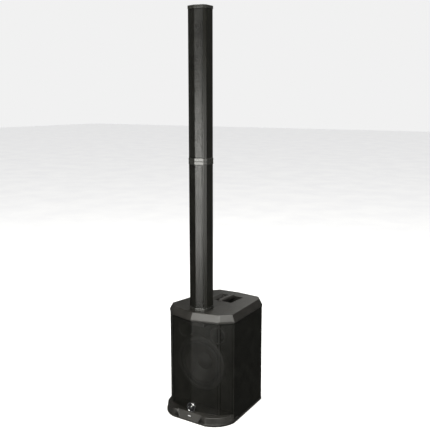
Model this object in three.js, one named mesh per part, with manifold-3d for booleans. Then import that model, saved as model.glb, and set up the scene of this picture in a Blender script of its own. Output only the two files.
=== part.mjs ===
// Column PA system: a powered subwoofer that carries a loudspeaker column in two sections.
// The lower section plugs into the top of the subwoofer, the upper section plugs into the lower.
// Millimetres, +Z up, front towards -Y, +X to the right of someone who faces the front.
import * as THREE from 'three';
import { mergeVertices } from 'three/addons/utils/BufferGeometryUtils.js';
import { ConvexGeometry } from 'three/addons/geometries/ConvexGeometry.js';
import Module from 'manifold-3d';

const wasm = await Module();
wasm.setup();

// ---------------------------------------------------------------- driving dimensions

const gap = 0.3; // between pieces that touch
const slip = 0.6; // between pieces that plug together by hand

// Subwoofer outline. The plan is given at the flat top face, for which y = 0 is the front ridge.
const subHeight = 555;
const topWidth = 364;
const topDepth = 431;
const ridgeDepth = 34; // the ridge stands this far in front of the two front folds
const cornerWidth = 46; // front corner facet, measured across
const cornerDepth = 46; // and measured front to back
const sideTaper = 35; // each side leans in by this towards the back
const rearChamferWidth = 25;
const rearChamferDepth = 30;
const backBow = 11; // the back face is two planes that meet this much behind the chamfers

// Top cap: a moulded lid with a sloped band above a short upright lip.
const capSlope = 15;
const capSlopeHeight = 31;
const capLip = 9;
const capProud = 2; // the lip stands this far outside the cabinet wall
const capWall = 4;
const capOverlap = 4; // the lip reaches this far down over the cabinet
const capLedge = 8;

// Carrying handle, moulded into the cap.
const handleFront = 240;
const handleLength = 116;
const gripWidth = 28;
const gripThickness = 24;
const gripRise = 9; // the grip's crown above the top face
const pocketWidth = 38;
const pocketDepth = 56;
const pocketRimWidth = 15; // the pocket's outer rims slope in by this much
const pocketRimDepth = 13;

// Base moulding and feet.
const footHeight = 1.5;
const footRecess = 5;
const footRadius = 16;
const trayThickness = 9;
const trayRim = 2; // the tray's rim above its floor
const grilleBottom = 46;
const noseHalfWidth = 100;
const noseReach = 38;
const noseDraft = 4;
const kickHeight = 7; // the upright strip at the foot of the nose and cheeks
const cheekInset = 15.5;
const cheekRise = 25;
const fairingLength = 62;
const baseWall = 4.5;
const scoopTopWidth = 150;
const scoopBottomWidth = 112;
const scoopBottom = 8;
const scoopSetback = 15;

// Cabinet.
const cabinetWall = 15;
const baffleSetback = 76;
const baffleThickness = 18;
const grilleSheet = 1.5;

// Woofer, ten inch.
const wooferHeight = 274;
const wooferFlangeRadius = 130;
const wooferFlangeThickness = 4;
const wooferCutoutRadius = 118;
const trimOuterRadius = 140;
const trimInnerRadius = 121;
const trimThickness = 10;
const coneRadius = 97;
const coneNeckRadius = 27;
const coneDepth = 40;
const coneThickness = 1.6;
const surroundRise = 8;
const dustCapRadius = 41;
const dustCapRise = 13;
const coilRadius = 25.6;
const coilThickness = 1.2;
const coilLength = 40;
const basketDepth = 66;
const basketSheet = 2.5;
const basketSeatRadius = 66;
const basketWindows = 6;
const magnetRadius = 70;
const magnetDepth = 36;
const magnetGap = 1.5; // radial clearance of the voice coil on each side
const coilTravel = 6;

// Reflex ports in the upper corners of the baffle.
const portOffset = Math.round(0.27 * topWidth);
const portFlangeRadius = 45;
const portSpacing = trimOuterRadius + portFlangeRadius + 3; // from the woofer's centre
const portHeight = wooferHeight + Math.round(Math.sqrt(portSpacing ** 2 - portOffset ** 2));
const portFlangeThickness = 4;
const portRadius = 37;
const portWall = 2.5;
const portLength = 150;

// Badge and power light.
const badgeRadius = 24;
const badgeThickness = 5;
const badgeHeight = 68;
const lensWidth = 26;
const lensHeight = 8;
const lensThickness = 4;
const lensProud = 0.8;
const lensCentreHeight = 28;

// Column sections. The plan's ridge lies columnSetback behind the subwoofer's ridge.
const columnSetback = 27;
const columnWidth = 101;
const columnDepth = 86;
const columnRidge = 12.3;
const columnCheekWidth = 8;
const columnCheekDepth = 15;
const columnTaper = 5;
const columnWall = 3;
const lowerLength = 732;
const upperLength = 713;
const collarHeight = 15;
const collarProud = 1.6;
const collarBevel = 1;
const foldGroove = 1.6; // shadow gap between the grille's edge and the shell
const plugWidth = 60;
const plugDepth = 38;
const plugLength = 70;
const socketWall = 4;
const contactHeight = 8;
const liftClearance = 12; // how far past the socket a lifted section is carried

// Column loudspeakers.
const arrayCount = 8;
const arrayPitch = 75;
const arrayRadius = 33;
const arrayDepth = 42;
const arrayBaffleSetback = 18;
const arrayBaffleThickness = 4;

// Rear panel.
const panelWidth = 212;
const panelHeight = 368;
const panelBottom = 84;
const panelThickness = 3;
const panelInset = 1.5;
const panelLedge = 14;
const sinkWidth = 150;
const sinkHeight = 84;
const sinkBottomOffset = panelHeight - sinkHeight - 28; // above the panel's lower edge
const sinkFin = 2.4;
const sinkFins = 11;
const sinkFinDepth = 11;
const sinkBase = 6;
const knobRow = sinkBottomOffset - 24;
const knobSpacing = 46;
const knobRadius = 9;
const knobHeight = 13;
const shaftRadius = 3;
const socketRow = Math.round(0.462 * panelHeight);
const socketSpacing = 60;
const socketFlangeRadius = 14;
const socketBodyRadius = 11.8;
const socketBoreRadius = 8.8;
const socketBodyDepth = 24;
const socketBoreDepth = 15;
const buttonRow = Math.round(0.32 * panelHeight);
const buttonOffset = 60;
const buttonRadius = 4.5;
const buttonTravel = 1.5;
const inletRow = 48;
const inletOffset = -42;
const inletFlange = [50, 30];
const inletBody = [34, 24];
const inletBore = [24.4, 16.8];
const inletBoreDepth = 20;
const inletPinLength = 13;
const rockerOffset = 34;
const rockerFrame = [24, 32];
const rockerWidth = 15;
const rockerHalf = 11;
const rockerTilt = 9; // degrees, each way
const supplyPillar = 34;
const supplyWidth = 150;

const ringSides = 24;
const socketSides = 16;
const smallSides = 12;

// ---------------------------------------------------------------- shape helpers

const at = (x, y) => new THREE.Vector2(x, y);

// Turns a closed three.js geometry into a solid that can be joined and cut.
function solid(geometry) {
  const bare = geometry.clone();
  bare.deleteAttribute('normal');
  bare.deleteAttribute('uv');
  const merged = mergeVertices(bare, 1e-4);
  const corners = merged.index.array;
  const kept = [];
  for (let i = 0; i < corners.length; i += 3) {
    const [a, b, c] = corners.slice(i, i + 3);
    if (a !== b && b !== c && c !== a) kept.push(a, b, c);
  }
  const vertProperties = merged.attributes.position.array;
  const build = (list) =>
    new wasm.Manifold(new wasm.Mesh({ numProp: 3, vertProperties, triVerts: new Uint32Array(list) }));
  const shape = build(kept);
  return shape.volume() > 0 ? shape : build(kept.reverse());
}

function toGeometry(shape) {
  const mesh = shape.getMesh();
  const geometry = new THREE.BufferGeometry();
  geometry.setAttribute('position', new THREE.BufferAttribute(mesh.vertProperties, 3));
  geometry.setIndex(new THREE.BufferAttribute(mesh.triVerts, 1));
  geometry.computeVertexNormals();
  return geometry;
}

const join = (...shapes) => shapes.reduce((whole, shape) => whole.add(shape));
const cut = (shape, ...tools) => tools.reduce((left, tool) => left.subtract(tool), shape);

// Mirrors the right half of an outline, listed from front to back, into a closed outline.
function mirrored(half) {
  const left = half.filter((p) => p.x > 0).reverse().map((p) => at(-p.x, p.y));
  return [...half, ...left];
}

// Moves every edge of an anticlockwise outline outwards by a distance.
function grow(outline, distance) {
  return outline.map((corner, i) => {
    const before = outline[(i + outline.length - 1) % outline.length];
    const after = outline[(i + 1) % outline.length];
    const into = corner.clone().sub(before).normalize();
    const away = after.clone().sub(corner).normalize();
    const bisector = at(into.y + away.y, -into.x - away.x).normalize();
    return corner.clone().addScaledVector(bisector, distance / bisector.dot(at(into.y, -into.x)));
  });
}

// An outline in plan, carried up from low to high.
function prism(outline, low, high) {
  const geometry = new THREE.ExtrudeGeometry(new THREE.Shape(outline), {
    depth: high - low,
    bevelEnabled: false,
  });
  return solid(geometry.translate(0, 0, low));
}

// The same with its top and bottom edges bevelled.
function bevelledPrism(outline, low, high, bevel) {
  const geometry = new THREE.ExtrudeGeometry(new THREE.Shape(grow(outline, -bevel)), {
    depth: high - low - 2 * bevel,
    bevelThickness: bevel,
    bevelSize: bevel,
    bevelSegments: 1,
  });
  return solid(geometry.translate(0, 0, low + bevel));
}

// An outline in X and Z, carried from front to back.
function slab(outline, front, back) {
  const geometry = new THREE.ExtrudeGeometry(new THREE.Shape(outline), {
    depth: back - front,
    bevelEnabled: false,
  });
  return solid(geometry.rotateX(Math.PI / 2).translate(0, back, 0));
}

function block([x0, x1], [y0, y1], [z0, z1]) {
  const geometry = new THREE.BoxGeometry(x1 - x0, y1 - y0, z1 - z0);
  return solid(geometry.translate((x0 + x1) / 2, (y0 + y1) / 2, (z0 + z1) / 2));
}

const centred = (width, middle = 0) => [middle - width / 2, middle + width / 2];

// The convex solid through outlines at given heights.
function between(...levels) {
  const points = levels.flatMap(([outline, z]) =>
    outline.map((p) => new THREE.Vector3(p.x, p.y, z)),
  );
  return solid(new ConvexGeometry(points));
}

// A closed profile of radius and depth, turned about the Y axis.
function turned(profile, sides) {
  const points = profile.map(([radius, y]) => at(radius, y));
  return solid(new THREE.LatheGeometry([...points, points[0]], sides));
}

function rod(radius, front, back, sides = smallSides) {
  const geometry = new THREE.CylinderGeometry(radius, radius, back - front, sides);
  return solid(geometry.translate(0, (front + back) / 2, 0));
}

function rectangle(width, height, bottom = -height / 2) {
  return [
    at(-width / 2, bottom),
    at(width / 2, bottom),
    at(width / 2, bottom + height),
    at(-width / 2, bottom + height),
  ];
}

const finish = (color, roughness, metalness) =>
  new THREE.MeshStandardMaterial({ color, roughness, metalness });

const blackPlastic = () => finish(0x1b1b1d, 0.55, 0);
const paintedWood = () => finish(0x161617, 0.7, 0);
const blackSteel = () => finish(0x1d1d1f, 0.5, 0.6);
const blackAluminium = () => finish(0x17181a, 0.45, 0.5);
const bareAluminium = () => finish(0xb4b6b8, 0.4, 0.9);
const brightMetal = () => finish(0xd8d8da, 0.2, 1);
const brassContacts = () => finish(0xc9a24a, 0.35, 0.9);
const rubber = () => finish(0x101010, 0.9, 0);
const paper = () => finish(0x1c1b1a, 0.85, 0);
const ferrite = () => finish(0x3a3a3c, 0.6, 0.4);
const circuitBoard = () => finish(0x1e5233, 0.5, 0.1);

function place(group, name, shape, material, position = [0, 0, 0]) {
  const mesh = new THREE.Mesh(toGeometry(shape), material);
  mesh.name = name;
  mesh.position.set(...position);
  group.add(mesh);
  return mesh;
}

// ---------------------------------------------------------------- outlines and levels

const topHalfWidth = topWidth / 2;
const topOutline = mirrored([
  at(0, 0),
  at(topHalfWidth - cornerWidth, ridgeDepth),
  at(topHalfWidth, ridgeDepth + cornerDepth),
  at(topHalfWidth - sideTaper, topDepth - backBow - rearChamferDepth),
  at(topHalfWidth - sideTaper - rearChamferWidth, topDepth - backBow),
  at(0, topDepth),
]);
const lipOutline = grow(topOutline, capSlope);
const wallOutline = grow(lipOutline, -capProud);
const innerOutline = grow(wallOutline, -cabinetWall);

const capBottom = subHeight - capSlopeHeight - capLip;
const cabinetTop = capBottom + capOverlap;
const cabinetBottom = footHeight + trayThickness + gap;
const innerBottom = cabinetBottom + cabinetWall;
const innerTop = cabinetTop - cabinetWall;
const baffleBack = baffleSetback + baffleThickness;

const columnHalf = columnWidth / 2;
const columnOutline = mirrored([
  at(0, columnSetback),
  at(columnHalf - columnCheekWidth, columnSetback + columnRidge),
  at(columnHalf, columnSetback + columnRidge + columnCheekDepth),
  at(columnHalf - columnTaper, columnSetback + columnDepth),
]);
const columnFoldX = columnHalf - columnCheekWidth;
const columnCentre = columnSetback + columnDepth / 2;

const lowerBottom = subHeight + gap;
const lowerTop = subHeight + lowerLength;
const upperBottom = lowerTop + gap;
const upperTop = lowerTop + upperLength;

// The well that a column section's plug stands in, below the face that the section rests on.
const wellWidth = plugWidth + 2 * slip;
const wellDepth = plugDepth + 2 * slip;
const wellDrop = plugLength + contactHeight + 2;
const wellBlock = (top, margin = 0, drop = wellDrop) =>
  block(
    centred(wellWidth + 2 * margin),
    centred(wellDepth + 2 * margin, columnCentre),
    [top - drop - margin, top + (margin ? 0 : 1)],
  );

// ---------------------------------------------------------------- cabinet and its mouldings

const handleWidth = gripWidth + 2 * pocketWidth;
const handleSpan = [handleFront, handleFront + handleLength];

// The space for the hand on both sides of the grip, or the walls round it when given a margin.
function handleSpace(margin) {
  const depth = [handleSpan[0] - margin, handleSpan[1] + margin];
  const shaftWidth = handleWidth + 2 * margin;
  const mouthWidth = shaftWidth + 2 * pocketRimWidth;
  const shaft = block(
    centred(shaftWidth),
    depth,
    [subHeight - pocketDepth - margin, subHeight + (margin ? 0 : gripRise + 1)],
  );
  const outline = (width) => rectangle(width, depth[1] - depth[0], depth[0]);
  const mouth = between(
    [outline(shaftWidth), subHeight - pocketRimDepth - margin],
    [outline(mouthWidth), subHeight],
    [outline(mouthWidth), subHeight + (margin ? 0 : 1)],
  );
  return join(shaft, mouth);
}

function topCap() {
  const lipTop = capBottom + capLip;
  const outside = between([lipOutline, capBottom], [lipOutline, lipTop], [topOutline, subHeight]);
  const seat = prism(grow(wallOutline, gap), capBottom - 1, cabinetTop + gap);
  const hollow = between(
    [grow(wallOutline, -capLedge), cabinetTop],
    [grow(wallOutline, -capLedge), lipTop],
    [grow(topOutline, -capLedge), subHeight - capWall],
  );
  const lid = join(
    cut(outside, seat, hollow),
    handleSpace(capWall),
    wellBlock(subHeight, socketWall),
  );
  const chamfer = gripThickness / 4;
  const gripTop = subHeight + gripRise;
  const gripSection = [
    at(-gripWidth / 2, gripTop - gripThickness + chamfer),
    at(-gripWidth / 2 + chamfer, gripTop - gripThickness),
    at(gripWidth / 2 - chamfer, gripTop - gripThickness),
    at(gripWidth / 2, gripTop - gripThickness + chamfer),
    at(gripWidth / 2, gripTop - chamfer),
    at(gripWidth / 2 - chamfer, gripTop),
    at(-gripWidth / 2 + chamfer, gripTop),
    at(-gripWidth / 2, gripTop - chamfer),
  ];
  const grip = slab(gripSection, handleSpan[0] - 1, handleSpan[1] + 1);
  return join(cut(lid, handleSpace(0), wellBlock(subHeight)), grip);
}

function cabinetShell() {
  const outside = prism(wallOutline, cabinetBottom, cabinetTop);
  const inside = prism(innerOutline, innerBottom, innerTop);
  const front = block([-topWidth, topWidth], [-topDepth, baffleSetback], [0, subHeight]);
  const rebate = block(
    centred(panelWidth + 2 * gap),
    [panelFace - panelThickness - gap, 2 * topDepth],
    [panelBottom - gap, panelBottom + panelHeight + gap],
  );
  const opening = block(
    centred(panelWidth - 2 * panelLedge),
    [topDepth / 2, 2 * topDepth],
    [panelBottom + panelLedge, panelBottom + panelHeight - panelLedge],
  );
  return cut(
    outside,
    inside,
    front,
    rebate,
    opening,
    handleSpace(capWall + 1),
    wellBlock(subHeight, socketWall + 1),
  );
}

function frontBaffle() {
  const plate = prism(grow(innerOutline, -gap), innerBottom + gap, innerTop - gap).intersect(
    block([-topWidth, topWidth], [baffleSetback, baffleBack], [0, subHeight]),
  );
  const hole = (radius, x, z) => {
    const circle = new THREE.Path().absarc(x, z, radius, 0, 2 * Math.PI).getPoints(ringSides / 2);
    return slab(circle.slice(0, -1), baffleSetback - 1, baffleBack + 1);
  };
  return cut(
    plate,
    hole(wooferCutoutRadius + gap, 0, wooferHeight),
    hole(portRadius + portWall + gap, portOffset, portHeight),
    hole(portRadius + portWall + gap, -portOffset, portHeight),
    wellBlock(subHeight, socketWall + 1),
  );
}

function frontGrille() {
  const ring = cut(
    prism(wallOutline, grilleBottom + gap, capBottom - gap),
    prism(grow(wallOutline, -grilleSheet), 0, subHeight),
  );
  return ring.intersect(block([-topWidth, topWidth], [-topDepth, baffleSetback - gap], [0, subHeight]));
}

// The panel between the two cheeks leans back from its foot to its top.
const scoopLean = Math.atan2(scoopSetback, grilleBottom - scoopBottom);
const scoopY = (z) => -noseReach + (z - scoopBottom) * Math.tan(scoopLean);

function scoopSpace(back, spread) {
  const slope = (scoopTopWidth - scoopBottomWidth) / (grilleBottom - scoopBottom) / 2;
  const half = (z) => scoopBottomWidth / 2 + slope * (z - scoopBottom) + spread;
  const levels = [footHeight, grilleBottom + 20].map((z) => {
    const reach = [-half(z), half(z)];
    const depths = [scoopY(z) + back, -2 * noseReach];
    return [reach.flatMap((x) => depths.map((y) => at(x, y))), z];
  });
  return between(...levels);
}

function baseMoulding() {
  const corner = lipOutline[2];
  const rear = lipOutline[3];
  const cheek = new THREE.QuadraticBezierCurve(
    at(noseHalfWidth, -noseReach),
    at(corner.x - cheekInset, cheekRise - noseReach),
    corner,
  ).getPoints(6);
  const footprint = mirrored([...cheek, rear, ...lipOutline.slice(4, 6)]);
  const inFront = (outline) => outline.filter((p) => p.y < corner.y + 1);
  const tail = corner.clone().lerp(rear, fairingLength / corner.distanceTo(rear));
  const tails = [tail, at(-tail.x, tail.y)];
  const nose = between(
    [[...inFront(footprint), ...tails], footHeight],
    [inFront(footprint), footHeight + kickHeight],
    [tails, footHeight + trayThickness + trayRim],
    [inFront(grow(footprint, -noseDraft)), grilleBottom],
  );
  const tray = prism(footprint, footHeight, footHeight + trayThickness + trayRim);
  const cabinetSpace = cut(
    prism(grow(wallOutline, gap), cabinetBottom - gap, subHeight),
    block([-topWidth, topWidth], [-topDepth, baffleSetback - gap], [0, subHeight]),
  );
  const roomHalf = corner.x - 3 * baseWall;
  const roomOutline = (inset) => [
    ...grow(footprint, -inset).filter((p) => p.y < ridgeDepth),
    at(-roomHalf, baffleSetback),
    at(roomHalf, baffleSetback),
  ];
  const room = cut(
    between(
      [roomOutline(baseWall), cabinetBottom],
      [roomOutline(baseWall + noseDraft), grilleBottom - baseWall],
    ),
    scoopSpace(baseWall, baseWall),
  );
  const feet = footPlaces.map(([x, y]) =>
    rod(footRadius + gap, 0, footHeight + footRecess + gap).rotate([90, 0, 0]).translate([x, y, 0]),
  );
  const badgeNotch = rod(badgeRadius + 1, -noseReach, badgeRadius / 2, ringSides);
  const lensHole = slab(lensOutline(gap), -10, 2 * lensThickness)
    .rotate([-THREE.MathUtils.radToDeg(scoopLean), 0, 0])
    .translate([0, scoopY(lensCentreHeight), lensCentreHeight]);
  return cut(
    join(nose, tray),
    cabinetSpace,
    scoopSpace(0, 0),
    room,
    badgeNotch.translate([0, 0, badgeHeight]),
    lensHole,
    ...feet,
  );
}

const footPlaces = [
  [topHalfWidth - cornerWidth, ridgeDepth + footRadius],
  [cornerWidth - topHalfWidth, ridgeDepth + footRadius],
  [topHalfWidth - sideTaper - rearChamferWidth, topDepth - rearChamferDepth - footRadius],
  [sideTaper + rearChamferWidth - topHalfWidth, topDepth - rearChamferDepth - footRadius],
];

function lensOutline(margin) {
  const half = lensWidth / 2;
  const rise = lensHeight / 2;
  const point = half - rise;
  return grow(
    [at(-half, 0), at(-point, -rise), at(point, -rise), at(half, 0), at(point, rise), at(-point, rise)],
    margin,
  );
}

function badge() {
  const disc = rod(badgeRadius, ridgeFace - badgeThickness, badgeRadius / 2, ringSides);
  return cut(disc.translate([0, 0, badgeHeight]), prism(grow(wallOutline, gap), 0, subHeight));
}

// ---------------------------------------------------------------- woofer, turned about its own axis

// y = 0 is the front of the baffle, and the woofer's own depths run backwards from it.
const coneFront = -2;
const coneBack = coneFront + coneDepth;
const magnetFront = basketDepth + 2 * gap;

function trimRing() {
  return turned([
    [trimInnerRadius, -trimThickness],
    [trimOuterRadius - 2, -trimThickness],
    [trimOuterRadius, -trimThickness + 2],
    [trimOuterRadius, -gap],
    [wooferFlangeRadius + gap, -gap],
    [wooferFlangeRadius + gap, -wooferFlangeThickness - 2 * gap],
    [trimInnerRadius, -wooferFlangeThickness - 2 * gap],
  ], ringSides);
}

function wooferBasket() {
  const bowl = turned([
    [coneRadius + 15, -wooferFlangeThickness - gap],
    [wooferFlangeRadius, -wooferFlangeThickness - gap],
    [wooferFlangeRadius, -gap],
    [wooferCutoutRadius - 1, -gap],
    [wooferCutoutRadius - 2, 12],
    [basketSeatRadius + basketSheet, basketDepth - 8],
    [basketSeatRadius + basketSheet, basketDepth],
    [coilRadius + 8, basketDepth],
    [coilRadius + 8, basketDepth - basketSheet],
    [basketSeatRadius, basketDepth - basketSheet],
    [basketSeatRadius, basketDepth - 8 - basketSheet],
    [wooferCutoutRadius - 2 - basketSheet, 12 - basketSheet],
    [coneRadius + 15, -gap],
  ], ringSides);
  const windowLength = wooferCutoutRadius - basketSeatRadius;
  const windows = Array.from({ length: basketWindows }, (_, i) =>
    block([basketSeatRadius + 4, wooferCutoutRadius + 4], [14, basketDepth - 12], centred(windowLength))
      .rotate([0, (360 / basketWindows) * i, 0]),
  );
  return cut(bowl, ...windows);
}

function wooferMagnet() {
  const pole = coilRadius - magnetGap;
  const plateHole = coilRadius + coilThickness + magnetGap;
  const slotEnd = magnetFront + magnetDepth - 8;
  return turned([
    [0.001, magnetFront - 4],
    [pole, magnetFront - 4],
    [pole, slotEnd],
    [plateHole, slotEnd],
    [plateHole, magnetFront],
    [magnetRadius - 4, magnetFront],
    [magnetRadius - 4, magnetFront + 6],
    [magnetRadius, magnetFront + 6],
    [magnetRadius, magnetFront + magnetDepth - 6],
    [magnetRadius - 4, magnetFront + magnetDepth - 6],
    [magnetRadius - 4, magnetFront + magnetDepth],
    [0.001, magnetFront + magnetDepth],
  ], ringSides);
}

// A half roll of rubber from the cone's edge to the basket's flange.
function wooferSurround() {
  const inner = coneRadius + gap;
  const outer = trimInnerRadius - 2;
  const seat = -wooferFlangeThickness - 2 * gap;
  const rollOuter = outer - 7;
  const middle = (inner + rollOuter) / 2;
  const half = (rollOuter - inner) / 2 - 1;
  const roll = [0.75, 0.5, 0.25].map((turn) => {
    const angle = turn * Math.PI;
    return [middle + half * Math.cos(angle), seat - 1.5 - surroundRise * Math.sin(angle)];
  });
  return turned([
    [inner, seat],
    ...roll.map(([radius, y]) => [radius, y + 1.5]),
    [rollOuter, seat],
    [outer, seat],
    [outer, seat - 1.5],
    [rollOuter, seat - 1.5],
    ...roll.reverse(),
    [inner, seat - 1.5],
  ], ringSides);
}

function wooferCone() {
  return turned([
    [coneRadius, coneFront - 4],
    [coneRadius, coneFront - 4 + coneThickness],
    [coneNeckRadius + 1.5, coneBack],
    [coneNeckRadius + 0.2, coneBack],
    [coneNeckRadius + 0.2, coneBack - 2.5],
    [coneRadius - 1.5 * coneThickness, coneFront - 4],
  ], ringSides);
}

function dustCap() {
  const slope = (coneBack - coneFront) / (coneRadius - coneNeckRadius);
  const rim = coneBack - (dustCapRadius - coneNeckRadius) * slope - 7;
  const crown = [0, 0.3, 0.6, 0.85].map((share) => {
    const radius = dustCapRadius * share;
    return [Math.max(radius, 0.001), rim - dustCapRise * (1 - share * share)];
  });
  const under = crown.map(([radius, y]) => [radius, y + 1.2]).reverse();
  return turned([...crown, [dustCapRadius, rim], [dustCapRadius - 1, rim + 1.2], ...under], ringSides);
}

const voiceCoil = () =>
  turned([
    [coilRadius, coneBack - 6],
    [coilRadius + coilThickness, coneBack - 6],
    [coilRadius + coilThickness, coneBack - 6 + coilLength],
    [coilRadius, coneBack - 6 + coilLength],
  ], ringSides);

// The corrugated disc that centres the voice coil.
function wooferSpider() {
  const first = coilRadius + coilThickness + gap;
  const last = basketSeatRadius - gap;
  const middle = coneBack + 8;
  const folds = Array.from({ length: 7 }, (_, i) => [
    first + ((last - first) * i) / 6,
    middle + (i % 2 ? 1.5 : -1.5) * (i > 0 && i < 6),
  ]);
  return turned([...folds, ...folds.map(([r, y]) => [r, y + 0.8]).reverse()], ringSides);
}

function portTube() {
  return turned([
    [portRadius + 3, -portFlangeThickness - gap],
    [portFlangeRadius, -portFlangeThickness - gap + 1],
    [portFlangeRadius, -gap],
    [portRadius + portWall, -gap],
    [portRadius + portWall, portLength],
    [portRadius, portLength],
    [portRadius, 4],
  ], ringSides);
}

// ---------------------------------------------------------------- column sections

function columnShell(low, high) {
  const reach = [0, subHeight + lowerLength + upperLength];
  const inside = prism(grow(columnOutline, -columnWall), ...reach);
  const mouth = block(
    centred(2 * (columnFoldX + foldGroove - columnWall)),
    [0, columnSetback + columnRidge + 4],
    reach,
  );
  return cut(prism(columnOutline, low, high), inside, mouth);
}

function columnGrille(low, high) {
  const edge = columnFoldX - foldGroove - columnWall / 2;
  const sheet = cut(
    prism(columnOutline, low, high),
    prism(columnOutline.map((p) => at(p.x, p.y + grilleSheet)), low - 1, high + 1),
  );
  return sheet.intersect(block(centred(2 * edge), [0, columnCentre], [low, high]));
}

const collar = (low, high) => bevelledPrism(grow(columnOutline, collarProud), low, high, collarBevel);

function columnPlug(top) {
  const width = centred(plugWidth);
  const depth = centred(plugDepth, columnCentre);
  const body = block(width, depth, [top - plugLength, top]);
  const neck = block(
    centred(plugWidth - 16),
    centred(plugDepth - 16, columnCentre),
    [top - 1, top + collarHeight],
  );
  const contactBore = block(
    centred(plugWidth - 20),
    centred(plugDepth - 20, columnCentre),
    [top - plugLength - 1, top - plugLength + contactHeight],
  );
  return cut(join(body, neck), contactBore);
}

function columnFoot(bottom) {
  const neck = block(
    centred(plugWidth - 16 + 2 * gap),
    centred(plugDepth - 16 + 2 * gap, columnCentre),
    [bottom - 1, bottom + collarHeight + 1],
  );
  return cut(collar(bottom, bottom + collarHeight), neck);
}

// The head collar carries the socket for the section above it.
function columnHead(top) {
  const tub = wellBlock(top, socketWall);
  return cut(join(collar(top - collarHeight, top), tub), wellBlock(top));
}

// A block of four contact studs at the bottom of a well.
function contactBlock(top) {
  const floor = top - wellDrop + gap;
  const plate = block(
    centred(plugWidth - 22),
    centred(plugDepth - 22, columnCentre),
    [floor, floor + 3],
  );
  const studs = [-1.5, -0.5, 0.5, 1.5].map((step) =>
    block(centred(3, step * 8), centred(3, columnCentre), [floor + 2, floor + contactHeight - 1]),
  );
  return join(plate, ...studs);
}

function arrayBaffle(low, high) {
  const front = columnSetback + arrayBaffleSetback;
  const plate = prism(grow(columnOutline, -columnWall - gap), low, high).intersect(
    block([-topWidth, topWidth], [front, front + arrayBaffleThickness], [low, high]),
  );
  const holes = arrayHeights.map((z) =>
    rod(arrayRadius - 4 + gap, front - 1, front + arrayBaffleThickness + 1).translate([0, 0, z]),
  );
  return cut(plate, ...holes);
}

const arrayMiddle = upperBottom + collarHeight + (upperLength - 2 * collarHeight) / 2;
const arrayHeights = Array.from(
  { length: arrayCount },
  (_, i) => arrayMiddle + (i - (arrayCount - 1) / 2) * arrayPitch,
);

// One small loudspeaker: flange, paper cone, chassis and magnet in one unit. y = 0 is the baffle front.
function arrayDriver() {
  return turned([
    [0.001, 5],
    [9, 8],
    [arrayRadius - 7, -3],
    [arrayRadius, -3],
    [arrayRadius, -gap],
    [arrayRadius - 5, -gap],
    [arrayRadius - 6, arrayBaffleThickness + 6],
    [20, arrayDepth],
    [0.001, arrayDepth],
  ], smallSides);
}

// ---------------------------------------------------------------- rear panel, y = 0 is its outer face

const ridgeFace = wallOutline[0].y;
const backCorner = wallOutline[4];
const backMiddle = wallOutline[5];
const backAt = (x) => backMiddle.y + ((backCorner.y - backMiddle.y) * x) / backCorner.x;
const panelFace = backAt(panelWidth / 2) - panelInset;

const knobPlaces = [-1.5, -0.5, 0.5, 1.5].map((step) => [step * knobSpacing, knobRow]);
const socketPlaces = [-1, 0, 1].map((step) => [step * socketSpacing, socketRow]);
const sinkMiddle = sinkBottomOffset + sinkHeight / 2;

// A hole or body through the panel, given from the panel's outer face.
const through = (width, height, x, z, front = -20, back = 20) =>
  block(centred(width, x), [front, back], centred(height, z));
const roundHole = (radius, x, z) => rod(radius, -20, 20, socketSides).translate([x, 0, z]);

function ampPanel() {
  const plate = slab(rectangle(panelWidth, panelHeight, 0), -panelThickness, 0);
  return cut(
    plate,
    through(sinkWidth + 2 * gap, sinkHeight + 2 * gap, 0, sinkMiddle),
    ...knobPlaces.map(([x, z]) => roundHole(shaftRadius + gap, x, z)),
    ...socketPlaces.map(([x, z]) => roundHole(socketBodyRadius + gap, x, z)),
    roundHole(buttonRadius + gap, buttonOffset, buttonRow),
    through(inletBody[0] + 2 * gap, inletBody[1] + 2 * gap, inletOffset, inletRow),
    through(rockerFrame[0] - 4 + 2 * gap, rockerFrame[1] - 4 + 2 * gap, rockerOffset, inletRow),
  );
}

// Finned heat sink: its base stands behind the panel and its fins fill the panel's window.
function heatSink() {
  const baseFront = -panelThickness - gap;
  const plate = block(
    centred(sinkWidth + 16),
    [baseFront - sinkBase, baseFront],
    centred(sinkHeight + 16, sinkMiddle),
  );
  const pitch = (sinkWidth - sinkFin) / (sinkFins - 1);
  const fins = Array.from({ length: sinkFins }, (_, i) =>
    block(
      centred(sinkFin, (i - (sinkFins - 1) / 2) * pitch),
      [baseFront - 1, baseFront + sinkFinDepth],
      centred(sinkHeight, sinkMiddle),
    ),
  );
  return join(plate, ...fins);
}

function amplifierBoard() {
  const face = -panelThickness - 2 * gap - sinkBase;
  const board = block(centred(sinkWidth), [face - 6, face - 4], centred(sinkHeight, sinkMiddle));
  const chips = [-50, -20, 10, 40].map((x) =>
    block(centred(16, x), [face - 5, face - gap], centred(22, sinkMiddle + 14)),
  );
  const capacitors = [-45, -15, 15, 45].map((x) =>
    rod(9, face - 34, face - 5, 8).translate([x, 0, sinkMiddle - 22]),
  );
  return join(board, ...chips, ...capacitors);
}

// The mixer board carries the controls' bodies behind the panel.
const controlDepth = 26;
const controlBack = -panelThickness - controlDepth;

function controlBoard() {
  const bottom = buttonRow - 16;
  const top = knobRow + 16;
  const board = block(centred(panelWidth - 44), [controlBack - 2, controlBack], [bottom, top]);
  const pots = knobPlaces.map(([x, z]) => through(16, 16, x, z, controlBack - 1, -panelThickness - gap));
  const bores = knobPlaces.map(([x, z]) =>
    rod(shaftRadius + gap, controlBack + 8, 0).translate([x, 0, z]),
  );
  const switchBody = through(12, 12, buttonOffset, buttonRow, controlBack - 1, controlBack + 10);
  return cut(join(board, ...pots, switchBody), ...bores);
}

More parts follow.
